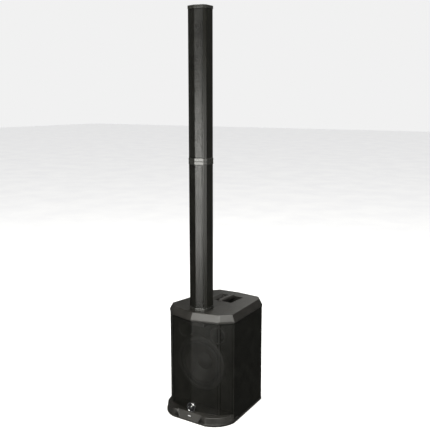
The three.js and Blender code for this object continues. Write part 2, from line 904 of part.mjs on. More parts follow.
// The power supply stands off the panel on four pillars, behind the mains parts.
function powerSupply() {
  const back = -panelThickness - supplyPillar;
  const [bottom, top] = [inletRow - 30, buttonRow - 22];
  const board = block(centred(supplyWidth), [back - 2, back], [bottom, top]);
  const transformer = block([-62, -12], [back - 40, back - 1], [bottom + 8, bottom + 58]);
  const choke = rod(17, back - 28, back - 1, smallSides).translate([34, 0, bottom + 26]);
  const reservoirs = [8, 34, 58].map((x) => rod(11, back - 38, back - 1, 8).translate([x, 0, top - 20]));
  const pillars = [-1, 1].flatMap((side) =>
    [bottom + 6, top - 6].map((z) => {
      const x = side * (supplyWidth / 2 - 6);
      return rod(3, back - 1, -panelThickness - gap, 8).translate([x, 0, z]);
    }),
  );
  return join(board, transformer, choke, ...reservoirs, ...pillars);
}

// Knob with a pointer groove, on its shaft.
function levelKnob() {
  const body = turned([
    [0.001, 1],
    [knobRadius, 1],
    [knobRadius, 3],
    [knobRadius - 1.5, 5],
    [knobRadius - 2, knobHeight - 1],
    [knobRadius - 3, knobHeight],
    [0.001, knobHeight],
  ], smallSides);
  const shaft = rod(shaftRadius, controlBack + 9, 2, 12);
  const groove = block(centred(1.4), [4, knobHeight + 1], [2, knobRadius + 1]);
  return cut(join(body, shaft), groove);
}

const socketBore = (radius, depth) => rod(radius, 2 - depth, 4, socketSides);

function socketBody() {
  return turned([
    [0.001, -socketBodyDepth],
    [socketBodyRadius, -socketBodyDepth],
    [socketBodyRadius, gap],
    [socketFlangeRadius, gap],
    [socketFlangeRadius, 1.4],
    [socketFlangeRadius - 0.8, 2],
    [0.001, 2],
  ], socketSides);
}

const comboSocket = () =>
  cut(socketBody(), socketBore(socketBoreRadius, socketBoreDepth), socketBore(3.2, socketBoreDepth + 6));

// Output socket: three pins stand on the floor of its bore.
function linkSocket() {
  const floor = 2 - socketBoreDepth;
  const pins = [90, 210, 330].map((degrees) => {
    const angle = THREE.MathUtils.degToRad(degrees);
    return rod(1.2, floor - 1, floor + 9, 8).translate([5 * Math.cos(angle), 0, 5 * Math.sin(angle)]);
  });
  return join(cut(socketBody(), socketBore(socketBoreRadius, socketBoreDepth)), ...pins);
}

const modeButton = () =>
  join(rod(buttonRadius, -panelThickness - 2, 3), rod(2, controlBack + 10 + buttonTravel + gap, 0, 8));

function mainsInlet() {
  const flange = through(...inletFlange, 0, 0, gap, 2);
  const body = through(...inletBody, 0, 0, 1 - inletBoreDepth - 5, 1);
  const floor = 2 - inletBoreDepth;
  const bore = through(...inletBore, 0, 0, floor, 4);
  const pins = [[-7, -2], [0, 2], [7, -2]].map(([x, z]) =>
    through(2, 4, x, z, floor - 1, floor + inletPinLength),
  );
  return join(cut(join(flange, body), bore), ...pins);
}

// Rocker switch: the frame holds a well that the rocker's corners sweep.
const rockerPivot = -1.5;

function switchFrame() {
  const flange = through(...rockerFrame, 0, 0, gap, 2);
  const body = through(rockerFrame[0] - 4, rockerFrame[1] - 4, 0, 0, -16, 1);
  const well = through(rockerWidth + 2 * gap, 2 * rockerHalf + 4, 0, 0, rockerPivot - 9, 4);
  return cut(join(flange, body), well);
}

function switchRocker() {
  const ends = 5;
  const section = [
    at(-rockerHalf, ends),
    at(0, ends - 2),
    at(rockerHalf, ends),
    at(7, -3),
    at(-7, -3),
  ];
  const geometry = new THREE.ExtrudeGeometry(new THREE.Shape(section), {
    depth: rockerWidth,
    bevelEnabled: false,
  });
  return solid(geometry.translate(0, 0, -rockerWidth / 2).rotateY(Math.PI / 2));
}

// ---------------------------------------------------------------- assembly

const columnPa = new THREE.Group();
columnPa.position.y = (noseReach - lipOutline[5].y) / 2;

function buildSubwoofer() {
  const sub = new THREE.Group();
  place(sub, 'cabinet_shell', cabinetShell(), paintedWood());
  place(sub, 'top_cap', topCap(), blackPlastic());
  place(sub, 'base_moulding', baseMoulding(), blackPlastic());
  place(sub, 'front_baffle', frontBaffle(), paintedWood());
  place(sub, 'front_grille', frontGrille(), blackSteel());
  place(sub, 'front_badge', badge(), brightMetal());

  const light = new THREE.Group();
  light.position.set(0, scoopY(lensCentreHeight), lensCentreHeight);
  light.rotation.x = -scoopLean;
  const lens = slab(lensOutline(0), -lensProud, lensThickness);
  place(light, 'power_light_lens', lens, finish(0xf4f6ff, 0.2, 0));
  const boardFront = baseWall + gap;
  const board = block(centred(34), [boardFront, boardFront + 1.6], centred(12));
  place(light, 'power_light_board', board, circuitBoard());
  sub.add(light);

  ['front_right', 'front_left', 'rear_right', 'rear_left'].forEach((side, i) => {
    const foot = rod(footRadius, 0, footHeight + footRecess).rotate([90, 0, 0]);
    place(sub, `rubber_foot_${side}`, foot, rubber(), [...footPlaces[i], 0]);
  });

  const woofer = new THREE.Group();
  woofer.position.set(0, baffleSetback, wooferHeight);
  place(woofer, 'woofer_trim_ring', trimRing(), blackPlastic());
  place(woofer, 'woofer_basket', wooferBasket(), blackSteel());
  place(woofer, 'woofer_magnet', wooferMagnet(), ferrite());
  place(woofer, 'woofer_surround', wooferSurround(), rubber());
  place(woofer, 'woofer_cone', wooferCone(), paper());
  place(woofer, 'woofer_dust_cap', dustCap(), paper());
  place(woofer, 'woofer_voice_coil', voiceCoil(), brassContacts());
  place(woofer, 'woofer_spider', wooferSpider(), finish(0xb08a4a, 0.9, 0));
  sub.add(woofer);

  place(sub, 'port_tube_right', portTube(), blackPlastic(), [portOffset, baffleSetback, portHeight]);
  place(sub, 'port_tube_left', portTube(), blackPlastic(), [-portOffset, baffleSetback, portHeight]);
  place(sub, 'column_socket_contacts', contactBlock(subHeight), brassContacts());
  return sub;
}

function buildRearPanel() {
  const rear = new THREE.Group();
  rear.position.set(0, panelFace, panelBottom);
  place(rear, 'amp_panel', ampPanel(), blackAluminium());
  place(rear, 'heat_sink', heatSink(), bareAluminium());
  place(rear, 'amplifier_board', amplifierBoard(), circuitBoard());
  place(rear, 'control_board', controlBoard(), circuitBoard());
  place(rear, 'power_supply', powerSupply(), circuitBoard());
  const knobNames = ['channel_1', 'channel_2', 'bass', 'master'];
  knobPlaces.forEach(([x, z], i) => {
    place(rear, `${knobNames[i]}_knob`, levelKnob(), blackPlastic(), [-x, 0, z]);
  });
  const sockets = [linkSocket, comboSocket, comboSocket];
  const socketNames = ['link_output_socket', 'channel_2_input_socket', 'channel_1_input_socket'];
  socketPlaces.forEach(([x, z], i) => {
    place(rear, socketNames[i], sockets[i](), blackPlastic(), [x, 0, z]);
  });
  place(rear, 'mode_button', modeButton(), blackPlastic(), [buttonOffset, 0, buttonRow]);
  place(rear, 'mains_inlet', mainsInlet(), blackPlastic(), [inletOffset, 0, inletRow]);
  place(rear, 'mains_switch_frame', switchFrame(), blackPlastic(), [rockerOffset, 0, inletRow]);
  const rocker = place(rear, 'mains_switch_rocker', switchRocker(), blackPlastic());
  rocker.position.set(rockerOffset, rockerPivot, inletRow);
  rocker.rotation.x = THREE.MathUtils.degToRad(rockerTilt);
  return rear;
}

function buildLowerColumn() {
  const low = lowerBottom + collarHeight + gap;
  const high = lowerTop - collarHeight - gap;
  const lower = new THREE.Group();
  place(lower, 'lower_column_shell', columnShell(low, high), blackAluminium());
  place(lower, 'lower_column_grille', columnGrille(low, high), blackSteel());
  place(lower, 'lower_column_foot', columnFoot(lowerBottom), blackPlastic());
  place(lower, 'lower_column_plug', columnPlug(lowerBottom), blackPlastic());
  place(lower, 'lower_column_head', columnHead(lowerTop), blackPlastic());
  place(lower, 'lower_column_contacts', contactBlock(lowerTop), brassContacts());
  const loomTop = lowerTop - wellDrop - socketWall - gap;
  const sleeve = new THREE.Path().absarc(0, columnCentre, 3, 0, 2 * Math.PI).getPoints(4);
  const loom = prism(sleeve.slice(0, -1), low + 1, loomTop);
  place(lower, 'lower_column_loom', loom, rubber());
  return lower;
}

function buildUpperColumn() {
  const low = upperBottom + collarHeight + gap;
  const high = upperTop - collarHeight - gap;
  const upper = new THREE.Group();
  place(upper, 'upper_column_shell', columnShell(low, high), blackAluminium());
  place(upper, 'upper_column_grille', columnGrille(low, high), blackSteel());
  place(upper, 'upper_column_foot', columnFoot(upperBottom), blackPlastic());
  place(upper, 'upper_column_plug', columnPlug(upperBottom), blackPlastic());
  place(upper, 'upper_column_cap', collar(upperTop - collarHeight, upperTop), blackPlastic());
  place(upper, 'upper_column_baffle', arrayBaffle(low, high), blackPlastic());
  arrayHeights.forEach((z, i) => {
    const position = [0, columnSetback + arrayBaffleSetback, z];
    place(upper, `column_driver_${i + 1}`, arrayDriver(), paper(), position);
  });
  return upper;
}

columnPa.add(buildSubwoofer(), buildRearPanel(), buildLowerColumn(), buildUpperColumn());

export default columnPa;
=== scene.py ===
"""Looks of a column PA system: a powered subwoofer that carries a two-section loudspeaker column.

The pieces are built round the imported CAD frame, in metres, +Z up, front towards -Y.
Sizes in the script are millimetres and are turned to metres where a mesh is made. The
lamps and the camera are placed in metres.
"""

import math

import bmesh
import bpy
import numpy as np
from mathutils import Euler, Matrix, Vector
from mathutils.geometry import convex_hull_2d


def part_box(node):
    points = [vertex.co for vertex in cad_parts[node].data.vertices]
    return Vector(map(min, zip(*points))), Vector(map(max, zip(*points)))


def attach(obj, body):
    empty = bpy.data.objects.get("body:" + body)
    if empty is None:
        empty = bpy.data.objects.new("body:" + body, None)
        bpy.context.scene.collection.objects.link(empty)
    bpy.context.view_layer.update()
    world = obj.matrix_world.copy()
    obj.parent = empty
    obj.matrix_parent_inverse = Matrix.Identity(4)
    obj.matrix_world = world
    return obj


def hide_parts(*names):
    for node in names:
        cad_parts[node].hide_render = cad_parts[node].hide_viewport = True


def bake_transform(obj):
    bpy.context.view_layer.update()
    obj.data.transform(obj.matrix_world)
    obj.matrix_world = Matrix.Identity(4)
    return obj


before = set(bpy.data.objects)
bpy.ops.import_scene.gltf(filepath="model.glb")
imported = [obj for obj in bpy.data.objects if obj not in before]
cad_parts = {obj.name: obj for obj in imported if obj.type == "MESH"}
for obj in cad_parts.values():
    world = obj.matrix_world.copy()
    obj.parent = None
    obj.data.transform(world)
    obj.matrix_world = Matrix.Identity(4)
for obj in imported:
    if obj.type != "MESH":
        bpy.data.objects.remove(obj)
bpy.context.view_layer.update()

bl_info = {
    "name": "Column PA system",
    "version": (1, 0, 0),
    "blender": (4, 5, 0),
    "location": "View3D > Sidebar > Column PA",
    "description": "Builds the visible pieces of a column PA system round its CAD frame",
    "category": "Object",
}

MM = 0.001
SHARP_EDGE = 20  # degrees between two faces, past which softened() rounds their edge
SHARP_SHADE = 38  # degrees past which a softened piece's edge still shades sharp
BEVEL_ROOM = 2.1  # an edge this many times the rounding has room for it at both ends
FLAT_PLAN = 0.01  # millimetres within which points count as the top of a node
SCREW_SEGMENTS = 24


# ---------------------------------------------------------------- places read from the frame


def box_mm(node):
    """A CAD node's lowest and highest corners, in millimetres."""
    low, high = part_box(node)
    return np.array(low) / MM, np.array(high) / MM


def middle_mm(node):
    """The middle of a CAD node's box, in millimetres."""
    low, high = box_mm(node)
    return (low + high) / 2


def node_points(node):
    """The corners of a CAD node's mesh as rows of millimetres."""
    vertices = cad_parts[node].data.vertices
    points = np.empty(3 * len(vertices), np.float32)
    vertices.foreach_get("co", points)
    return points.reshape(-1, 3) / MM


def plan_front(node):
    """The front corners of a node's convex plan at its top, from the left end to the right:
    of the corners that share an x, the one nearest the front."""
    points = node_points(node)
    top = points[points[:, 2] > points[:, 2].max() - FLAT_PLAN][:, :2]
    hull = top[convex_hull_2d(top.tolist())]
    hull = hull[np.lexsort((hull[:, 1], hull[:, 0]))]
    return hull[np.diff(hull[:, 0], prepend=-np.inf) > 0.1]


BAFFLE_FRONT = box_mm("front_baffle")[0][1]
PANEL_FACE = box_mm("amp_panel")[1][1]
WOOFER_CENTRE = middle_mm("woofer_trim_ring")[[0, 2]]


# ---------------------------------------------------------------- shapes


def make_mesh(name, points, faces):
    """A mesh object at the origin, from points in millimetres and rows of point numbers."""
    mesh = bpy.data.meshes.new(name)
    rows = [row for group in faces for row in np.asarray(group).tolist()]
    mesh.from_pydata(np.asarray(points, float) * MM, [], rows)
    piece = bpy.data.objects.new(name, mesh)
    bpy.context.scene.collection.objects.link(piece)
    return piece


def close_up(piece, sharp=35):
    """Merges the seams and poles, turns the faces outwards and marks the sharp edges."""
    surface = bmesh.new()
    surface.from_mesh(piece.data)
    bmesh.ops.remove_doubles(surface, verts=surface.verts, dist=2e-6)
    bmesh.ops.recalc_face_normals(surface, faces=surface.faces)
    surface.to_mesh(piece.data)
    surface.free()
    piece.data.polygons.foreach_set("use_smooth", np.ones(len(piece.data.polygons), bool))
    piece.data.set_sharp_from_angle(angle=math.radians(sharp))
    return piece


def finish_piece(piece, body, slot, material, *nodes):
    """Gives a piece its body, record slot and material, and hides the nodes it stands for."""
    piece.data.materials.clear()
    piece.data.materials.append(material)
    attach(piece, body)
    if nodes:
        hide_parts(*nodes)
    return piece


def eased(corners, steps=5, closed=True):
    """Rows of (a, b, reach): each corner becomes a quadratic curve that leaves its two sides at
    that reach from the corner. The ends of an open line stay where they are."""
    corners = np.asarray(corners, float)
    spots, reach = corners[:, :2], corners[:, 2:]
    back = np.roll(spots, 1, 0) - spots
    ahead = np.roll(spots, -1, 0) - spots
    back /= np.linalg.norm(back, axis=1, keepdims=True)
    ahead /= np.linalg.norm(ahead, axis=1, keepdims=True)
    if not closed:
        reach = reach.copy()
        reach[[0, -1]] = 0
    t = np.linspace(0, 1, steps)[None, :, None]
    start, end = (spots + back * reach)[:, None], (spots + ahead * reach)[:, None]
    curve = (1 - t) ** 2 * start + 2 * t * (1 - t) * spots[:, None] + t**2 * end
    curve = curve.reshape(-1, 2)
    step = np.linalg.norm(curve - np.roll(curve, 1, 0), axis=1)
    keep = step > 1e-4
    keep[0] = True
    return curve[keep]


def grid_faces(rows, columns, wrap_rows=False, wrap_columns=False):
    """The quads of a grid of points that are numbered row by row."""
    r = np.arange(rows if wrap_rows else rows - 1)[:, None]
    c = np.arange(columns if wrap_columns else columns - 1)[None, :]
    here, right = r * columns + c, r * columns + (c + 1) % columns
    above = (r + 1) % rows * columns
    return np.stack([here, right, above + (c + 1) % columns, above + c], -1).reshape(-1, 4)


def turned(profile, centre, front, segments=96, flutes=None):
    """A profile of (radius, depth) rows turned about the Y axis: the point at angle a lies at
    centre + radius (cos a, sin a) across and front + depth along. A profile that starts and
    ends on the axis closes at its poles, any other closes on itself."""
    profile = np.asarray(profile, float)
    angle = np.linspace(0, 2 * math.pi, segments, endpoint=False)
    radius = profile[:, :1] * np.ones(segments)
    if flutes is not None:
        radius = radius * flutes(angle, profile[:, :1], profile[:, 1:])
    points = np.stack(
        [
            centre[0] + radius * np.cos(angle),
            front + profile[:, 1:] * np.ones(segments),
            centre[1] + radius * np.sin(angle),
        ],
        -1,
    ).reshape(-1, 3)
    on_axis = profile[0, 0] == 0 and profile[-1, 0] == 0
    return points, grid_faces(len(profile), segments, wrap_rows=not on_axis, wrap_columns=True)


def turned_piece(name, profile, centre, front, segments=96, flutes=None, sharp=35):
    """A turned profile as one closed piece."""
    points, faces = turned(profile, centre, front, segments, flutes)
    return close_up(make_mesh(name, points, [faces]), sharp)


def joined(parts):
    """Puts several (points, faces) pairs into one, renumbering their faces."""
    starts = np.cumsum([0] + [len(points) for points, _ in parts])
    points = np.concatenate([points for points, _ in parts])
    return points, [np.asarray(faces) + start for (_, faces), start in zip(parts, starts)]


def slab(outline, low, high, axes):
    """An outline carried straight from low to high. Axes names the outline's two directions
    and then the direction that it is carried in, as column numbers."""
    outline = np.asarray(outline, float)
    count = len(outline)
    middle = outline.mean(0)
    levels = [(middle, low), (outline, low), (outline, high), (middle, high)]
    points = np.zeros((4, count, 3))
    for level, (spots, along) in enumerate(levels):
        points[level][:, axes[:2]] = spots
        points[level][:, axes[2]] = along
    return points.reshape(-1, 3), grid_faces(4, count, wrap_columns=True)


def circle(radius, centre, segments):
    """Points at centre + radius (cos a, sin a), evenly spaced."""
    angle = np.linspace(0, 2 * math.pi, segments, endpoint=False)
    return np.stack([centre[0] + radius * np.cos(angle), centre[1] + radius * np.sin(angle)], -1)


def softened(name, node, reach, segments):
    """A copy of a CAD node whose sharp edges are rounded by reach wherever every edge that
    meets them is long enough to be trimmed by it at both ends. It stays in the node's box."""
    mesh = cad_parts[node].data.copy()
    mesh.name = name
    surface = bmesh.new()
    surface.from_mesh(mesh)
    bmesh.ops.remove_doubles(surface, verts=surface.verts, dist=1e-5)
    bmesh.ops.dissolve_limit(
        surface, angle_limit=math.radians(1), verts=surface.verts, edges=surface.edges
    )
    room = BEVEL_ROOM * reach * MM
    chosen = [
        edge
        for edge in surface.edges
        if len(edge.link_faces) == 2
        and edge.calc_face_angle(0) > math.radians(SHARP_EDGE)
        and all(near.calc_length() > room for end in edge.verts for near in end.link_edges)
    ]
    bmesh.ops.bevel(
        surface,
        geom=chosen,
        offset=reach * MM,
        offset_type="OFFSET",
        segments=segments,
        profile=0.5,
        affect="EDGES",
        clamp_overlap=False,
        loop_slide=True,
    )
    bmesh.ops.triangulate(surface, faces=[f for f in surface.faces if len(f.verts) > 4])
    # The bevel lists its new faces in a different order each run, so they are sorted by place.
    # Along this slant no two corners of a piece lie level, so that the order has no ties.
    slant = Vector((0.5377, 0.6180, 0.5741))
    surface.verts.sort(key=lambda vert: vert.co.dot(slant))
    surface.faces.sort(key=lambda face: face.calc_center_median().dot(slant))
    surface.to_mesh(mesh)
    surface.free()
    points = np.empty(3 * len(mesh.vertices), np.float32)
    mesh.vertices.foreach_get("co", points)
    inside = np.clip(points.reshape(-1, 3), *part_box(node))
    mesh.vertices.foreach_set("co", inside.astype(np.float32).ravel())
    piece = bpy.data.objects.new(name, mesh)
    bpy.context.scene.collection.objects.link(piece)
    mesh.polygons.foreach_set("use_smooth", np.ones(len(mesh.polygons), bool))
    mesh.set_sharp_from_angle(angle=math.radians(SHARP_SHADE))
    normals = piece.modifiers.new("flat_faces", "WEIGHTED_NORMAL")
    normals.keep_sharp = True
    return piece


def screw(centre, face, radius, outwards):
    """A pan-head screw with a cross recess. The head's height at radius r is a flattened
    dome, less the recess wherever the point lies within either arm of the cross."""
    share = np.array([0, 0.16, 0.3, 0.5, 0.62, 0.72, 0.9, 1.0, 1.0])[:, None]
    angle = np.linspace(0, 2 * math.pi, SCREW_SEGMENTS, endpoint=False)[None, :]
    across, up = radius * share * np.cos(angle), radius * share * np.sin(angle)
    height = 0.62 * radius * np.sqrt(np.clip(1 - 0.7 * share**2, 0, 1)) * np.ones_like(angle)
    arm = (np.minimum(abs(across), abs(up)) < 0.14 * radius) & (share < 0.6)
    height = np.where(arm, height - 0.45 * radius, height)
    height[-1] = -0.1
    points = np.stack([centre[0] + across, face + outwards * height, centre[1] + up], -1)
    last = points[-1:].copy()
    last[..., 0], last[..., 2] = centre
    points = np.concatenate([points, last])
    faces = grid_faces(len(points), SCREW_SEGMENTS, wrap_columns=True)
    return points.reshape(-1, 3), faces


def screws(name, places, face, radius, outwards=-1):
    """Several screws as one piece, their heads on a plane that faces along Y."""
    points, faces = joined([screw(place, face, radius, outwards) for place in places])
    return close_up(make_mesh(name, points, faces), 40)


# ---------------------------------------------------------------- perforated sheet


def bent_line(corners, reach):
    """A plan line whose folds are eased, with the distance along it at each of its points."""
    rows = np.column_stack([corners, np.full(len(corners), reach)])
    line = eased(rows, steps=9, closed=False)
    step = np.linalg.norm(np.diff(line, axis=0), axis=1)
    return line, np.concatenate([[0], np.cumsum(step)])


def line_normals(line):
    """The unit normals of a plan line that runs from left to right, on its front side."""
    along = np.gradient(line, axis=0)
    along /= np.linalg.norm(along, axis=1, keepdims=True)
    return np.stack([along[:, 1], -along[:, 0]], -1)


def shortened(corners, left, right):
    """A plan line whose two ends are drawn in along their own sides."""
    line = np.array(corners, float)
    for end, inner, gap in ((0, 1, left), (-1, -2, right)):
        along = line[inner] - line[end]
        line[end] += gap * along / np.linalg.norm(along)
    return line


def honeycomb(length, height, pitch, bar):
    """A flat sheet of hexagonal holes. Hole (i, j) is centred at u = pitch (i + 1/2 for odd
    j), v = pitch (sqrt 3 / 2) j, and its six corners lie at 30, 90, ... 330 degrees. A quad
    bridges each pair of neighbouring holes and a triangle fills each spot where three meet."""
    rise = pitch * math.sqrt(3) / 2
    columns, rows = int(length / pitch) - 1, int(height / rise)
    i, j = np.meshgrid(np.arange(columns), np.arange(rows))
    u = (length - (columns - 0.5) * pitch) / 2 + pitch * (i + 0.5 * (j % 2))
    v = (height - (rows - 1) * rise) / 2 + rise * j
    corner = np.radians(30 + 60 * np.arange(6))
    hole = (pitch - bar) / math.sqrt(3)
    points = np.stack(
        [u[..., None] + hole * np.cos(corner), v[..., None] + hole * np.sin(corner)], -1
    )

    def number(row, column, which):
        return 6 * (row * columns + column) + which

    right_i, upper_left = i + 1, i - 1 + j % 2
    upper_right = upper_left + 1
    right = right_i < columns
    above = j < rows - 1
    has_left = above & (upper_left >= 0)
    has_right = above & (upper_right < columns)

    def rows_of(mask, *corners):
        return np.stack([number(r, c, k)[mask] for r, c, k in corners], -1)

    quads = [
        rows_of(right, (j, i, 5), (j, right_i, 3), (j, right_i, 2), (j, i, 0)),
        rows_of(has_right, (j, i, 0), (j + 1, upper_right, 4), (j + 1, upper_right, 3), (j, i, 1)),
        rows_of(has_left, (j, i, 1), (j + 1, upper_left, 5), (j + 1, upper_left, 4), (j, i, 2)),
    ]
    triangles = [
        rows_of(has_right & right, (j, i, 0), (j, right_i, 2), (j + 1, upper_right, 4)),
        rows_of(
            has_left & has_right, (j, i, 1), (j + 1, upper_right, 3), (j + 1, upper_left, 5)
        ),
    ]
    return points.reshape(-1, 2), quads + triangles


def perforated_sheet(name, corners, low, high, fold, pitch, bar, thickness, sunk):
    """Honeycomb sheet carried round a plan line: the sheet's u runs along the line, its v
    straight up, and the whole stands sunk behind the line."""
    line, reach = bent_line(corners, fold)
    line = line - sunk * line_normals(line)
    sheet, faces = honeycomb(reach[-1], high - low, pitch, bar)
    x = np.interp(sheet[:, 0], reach, line[:, 0])
    y = np.interp(sheet[:, 0], reach, line[:, 1])
    piece = make_mesh(name, np.column_stack([x, y, low + sheet[:, 1]]), faces)
    thick = piece.modifiers.new("sheet", "SOLIDIFY")
    thick.thickness = thickness * MM
    thick.offset = -1
    return piece


def edge_band(line, low, high, front, back):
    """A band of rectangular section along a plan line, between two depths behind it."""
    normals = line_normals(line)
    outer, inner = line - front * normals, line - back * normals
    section = [(outer, low), (inner, low), (inner, high), (outer, high)]
    points = np.stack([np.column_stack([spots, np.full(len(spots), z)]) for spots, z in section])
    count = len(line)
    sides = grid_faces(4, count, wrap_rows=True)
    ends = np.array([[0, 1, 2, 3], [3, 2, 1, 0]]) * count + np.array([[0], [count - 1]])
    return points.reshape(-1, 3), np.concatenate([sides, ends])


def grille_edge(name, corners, low, high, fold, width, depth):
    """The solid border of a perforated sheet: bands along its four sides."""
    line, reach = bent_line(corners, fold)
    span = [0, width]
    start = np.stack([np.interp(span, reach, line[:, k]) for k in (0, 1)], -1)
    end = np.stack(
        [np.interp([reach[-1] - width, reach[-1]], reach, line[:, k]) for k in (0, 1)], -1
    )
    points, faces = joined(
        [
            edge_band(line, low, low + width, 0, depth),
            edge_band(line, high - width, high, 0, depth),
            edge_band(start, low + width, high - width, 0, depth),
            edge_band(end, low + width, high - width, 0, depth),
        ]
    )
    return close_up(make_mesh(name, points, faces), 30)


# ---------------------------------------------------------------- material tools


def linear(code):
    """An sRGB hex colour as linear RGBA."""
    values = np.array([int(code[k : k + 2], 16) for k in (1, 3, 5)]) / 255
    low, high = values / 12.92, ((values + 0.055) / 1.055) ** 2.4
    return (*np.where(values <= 0.04045, low, high).tolist(), 1.0)


def add(tree, kind, inputs=None, **settings):
    """Adds a node with its settings. Each input is given a value or linked to an output."""
    node = tree.nodes.new(kind)
    for name, value in settings.items():
        setattr(node, name, value)
    for socket, value in (inputs or {}).items():
        if isinstance(value, bpy.types.NodeSocket):
            tree.links.new(value, node.inputs[socket])
        else:
            node.inputs[socket].default_value = value
    return node


def new_material(name, **shader):
    """An empty material with a Principled shader, whose constant values are given by name."""
    material = bpy.data.materials.new(name)
    material.use_nodes = True
    tree = material.node_tree
    tree.nodes.clear()
    values = {key.replace("_", " "): value for key, value in shader.items()}
    bsdf = add(tree, "ShaderNodeBsdfPrincipled", values)
    add(tree, "ShaderNodeOutputMaterial", {"Surface": bsdf.outputs[0]})
    return material, tree, bsdf


def noise_at(tree, size, detail=3.0, stretch=(1, 1, 1)):
    """Noise on Object coordinates whose features are about size millimetres across."""
    place = add(tree, "ShaderNodeTexCoord").outputs["Object"]
    if stretch != (1, 1, 1):
        place = add(tree, "ShaderNodeMapping", {"Vector": place, "Scale": stretch}).outputs[0]
    settings = {"Vector": place, "Scale": 1 / (size * MM), "Detail": detail, "Roughness": 0.55}
    return add(tree, "ShaderNodeTexNoise", settings).outputs["Fac"]


def vary(tree, factor, low, high):
    """Carries the middle of a noise's range, where most of its values lie, to low and high."""
    values = {
        "Value": factor,
        "From Min": 0.35,
        "From Max": 0.65,
        "To Min": low,
        "To Max": high,
    }
    return add(tree, "ShaderNodeMapRange", values).outputs[0]


def wave_scale(size):
    """The scale at which one line of a wave pattern is about size millimetres wide, and the
    gap beside it as much: the pattern repeats each pi / 10 of its scaled coordinate."""
    return 1 / (size * MM) / 6.28


def paint(tree, bsdf, factor, dark, light):
    """Gives the surface a colour that goes from dark to light with a factor."""
    mix = add(tree, "ShaderNodeMix", data_type="RGBA")
    tree.links.new(factor, mix.inputs["Factor"])
    ends = [socket for socket in mix.inputs if socket.type == "RGBA"]
    for socket, colour in zip(ends, (dark, light)):
        socket.default_value = colour if len(colour) == 4 else (*colour, 1.0)
    mixed = [socket for socket in mix.outputs if socket.type == "RGBA"][0]
    tree.links.new(mixed, bsdf.inputs["Base Color"])


def roughen(tree, bsdf, factor, low, high):
    """Lets the roughness follow a factor between two values."""
    tree.links.new(vary(tree, factor, low, high), bsdf.inputs["Roughness"])


def grain(tree, bsdf, height, depth):
    """Bumps the surface by a height pattern that is depth millimetres deep."""
    bump = add(tree, "ShaderNodeBump", {"Height": height, "Strength": 1.0, "Distance": depth * MM})
    tree.links.new(bump.outputs[0], bsdf.inputs["Normal"])


def grained(name, dark, light, rough, cloud, grit, depth, **shader):
    """The recipe that every matt or satin finish here shares. Clouds of the given size shift
    the colour from dark to light and the roughness between two values, and grit bumps it.
    Each colour is a hex code, or a colour that a user may change."""
    material, tree, bsdf = new_material(name, **shader)
    clouds = noise_at(tree, cloud)
    ends = [linear(colour) if isinstance(colour, str) else colour for colour in (dark, light)]
    paint(tree, bsdf, vary(tree, clouds, 0, 1), *ends)
    roughen(tree, bsdf, clouds, *rough)
    grain(tree, bsdf, noise_at(tree, grit, 2), depth)
    return material


def rubbed_metal(name, dark, light, rough, cloud, metallic=1.0):
    """A plated or blackened metal: clouds of the given size stand for where it is rubbed."""
    material, tree, bsdf = new_material(name, Metallic=metallic)
    rub = noise_at(tree, cloud)
    paint(tree, bsdf, vary(tree, rub, 0, 1), linear(dark), linear(light))
    roughen(tree, bsdf, rub, *rough)
    return material


# ---------------------------------------------------------------- materials


def moulded_abs():
    # ABS from a spark-eroded tool: an even pebble that turns gloss into a broad soft sheen.
    # The real pebble is 0.3 mm and is drawn at 1.6 mm so that it shows.
    return grained(
        "moulded_abs", looks().moulding_dark, looks().moulding_light,
        rough=(0.4, 0.48), cloud=60, grit=1.6, depth=0.05, IOR=1.53, Specular_IOR_Level=0.8,
    )


def satin_abs():
    # ABS from a finely blasted tool: smoother than the cap, so that it catches more light.
    return grained(
        "satin_abs", "#1c1c1a", "#242422",
        rough=(0.32, 0.38), cloud=40, grit=1.2, depth=0.02, IOR=1.53,
    )


def polished_abs():
    # ABS from a polished tool: the collars' skin mirrors the lamps in a soft bright band.
    return grained(
        "polished_abs", "#1b1b18", "#22221f",
        rough=(0.26, 0.31), cloud=40, grit=1.2,
        depth=0.004, IOR=1.53, Specular_IOR_Level=0.75, Coat_Weight=0.25, Coat_Roughness=0.25,
    )


def textured_paint():
    # Water-based cabinet paint rolled on plywood: an orange-peel of 2 mm pips, nearly matt.
    return grained(
        "textured_cabinet_paint", looks().cabinet_dark, looks().cabinet_light,
        rough=(0.62, 0.74), cloud=45, grit=2.2, depth=0.18, Specular_IOR_Level=0.2,
    )


def powder_coated_steel():
    # Polyester powder baked on punched steel: even, slightly pearled, no brush marks.
    return grained(
        "powder_coated_steel", looks().grille_dark, looks().grille_light,
        rough=(0.29, 0.36), cloud=70, grit=1.4, depth=0.02, IOR=1.5, Specular_IOR_Level=0.85,
    )


def powder_coated_aluminium():
    # The same powder on extruded aluminium: satin, with the faint draw lines of the die.
    material, tree, bsdf = new_material(
        "powder_coated_aluminium", IOR=1.5, Specular_IOR_Level=0.7
    )
    clouds = noise_at(tree, 90)
    drawn = noise_at(tree, 2.5, 2, (1, 1, 0.004))
    shades = looks().column_dark, looks().column_light
    paint(tree, bsdf, vary(tree, clouds, 0, 1), *shades)
    roughen(tree, bsdf, drawn, 0.26, 0.34)
    grain(tree, bsdf, drawn, 0.01)
    return material


def coated_paper():
    # Pulp pressed in a mould and sealed: felt-like fibres under a dull coat.
    material, tree, bsdf = new_material("coated_paper_cone")
    fibres = noise_at(tree, 2.0, 5, (1, 1, 3))
    paint(tree, bsdf, vary(tree, fibres, 0, 1), linear("#1d1c1b"), linear("#2e2c2a"))
    roughen(tree, bsdf, fibres, 0.55, 0.75)
    grain(tree, bsdf, fibres, 0.12)
    return material


def nitrile_rubber():
    # Moulded nitrile: dense, dark, a dull waxy highlight.
    return grained(
        "nitrile_rubber", "#141414", "#1c1c1c",
        rough=(0.5, 0.6), cloud=25, grit=1.0, depth=0.02,
    )


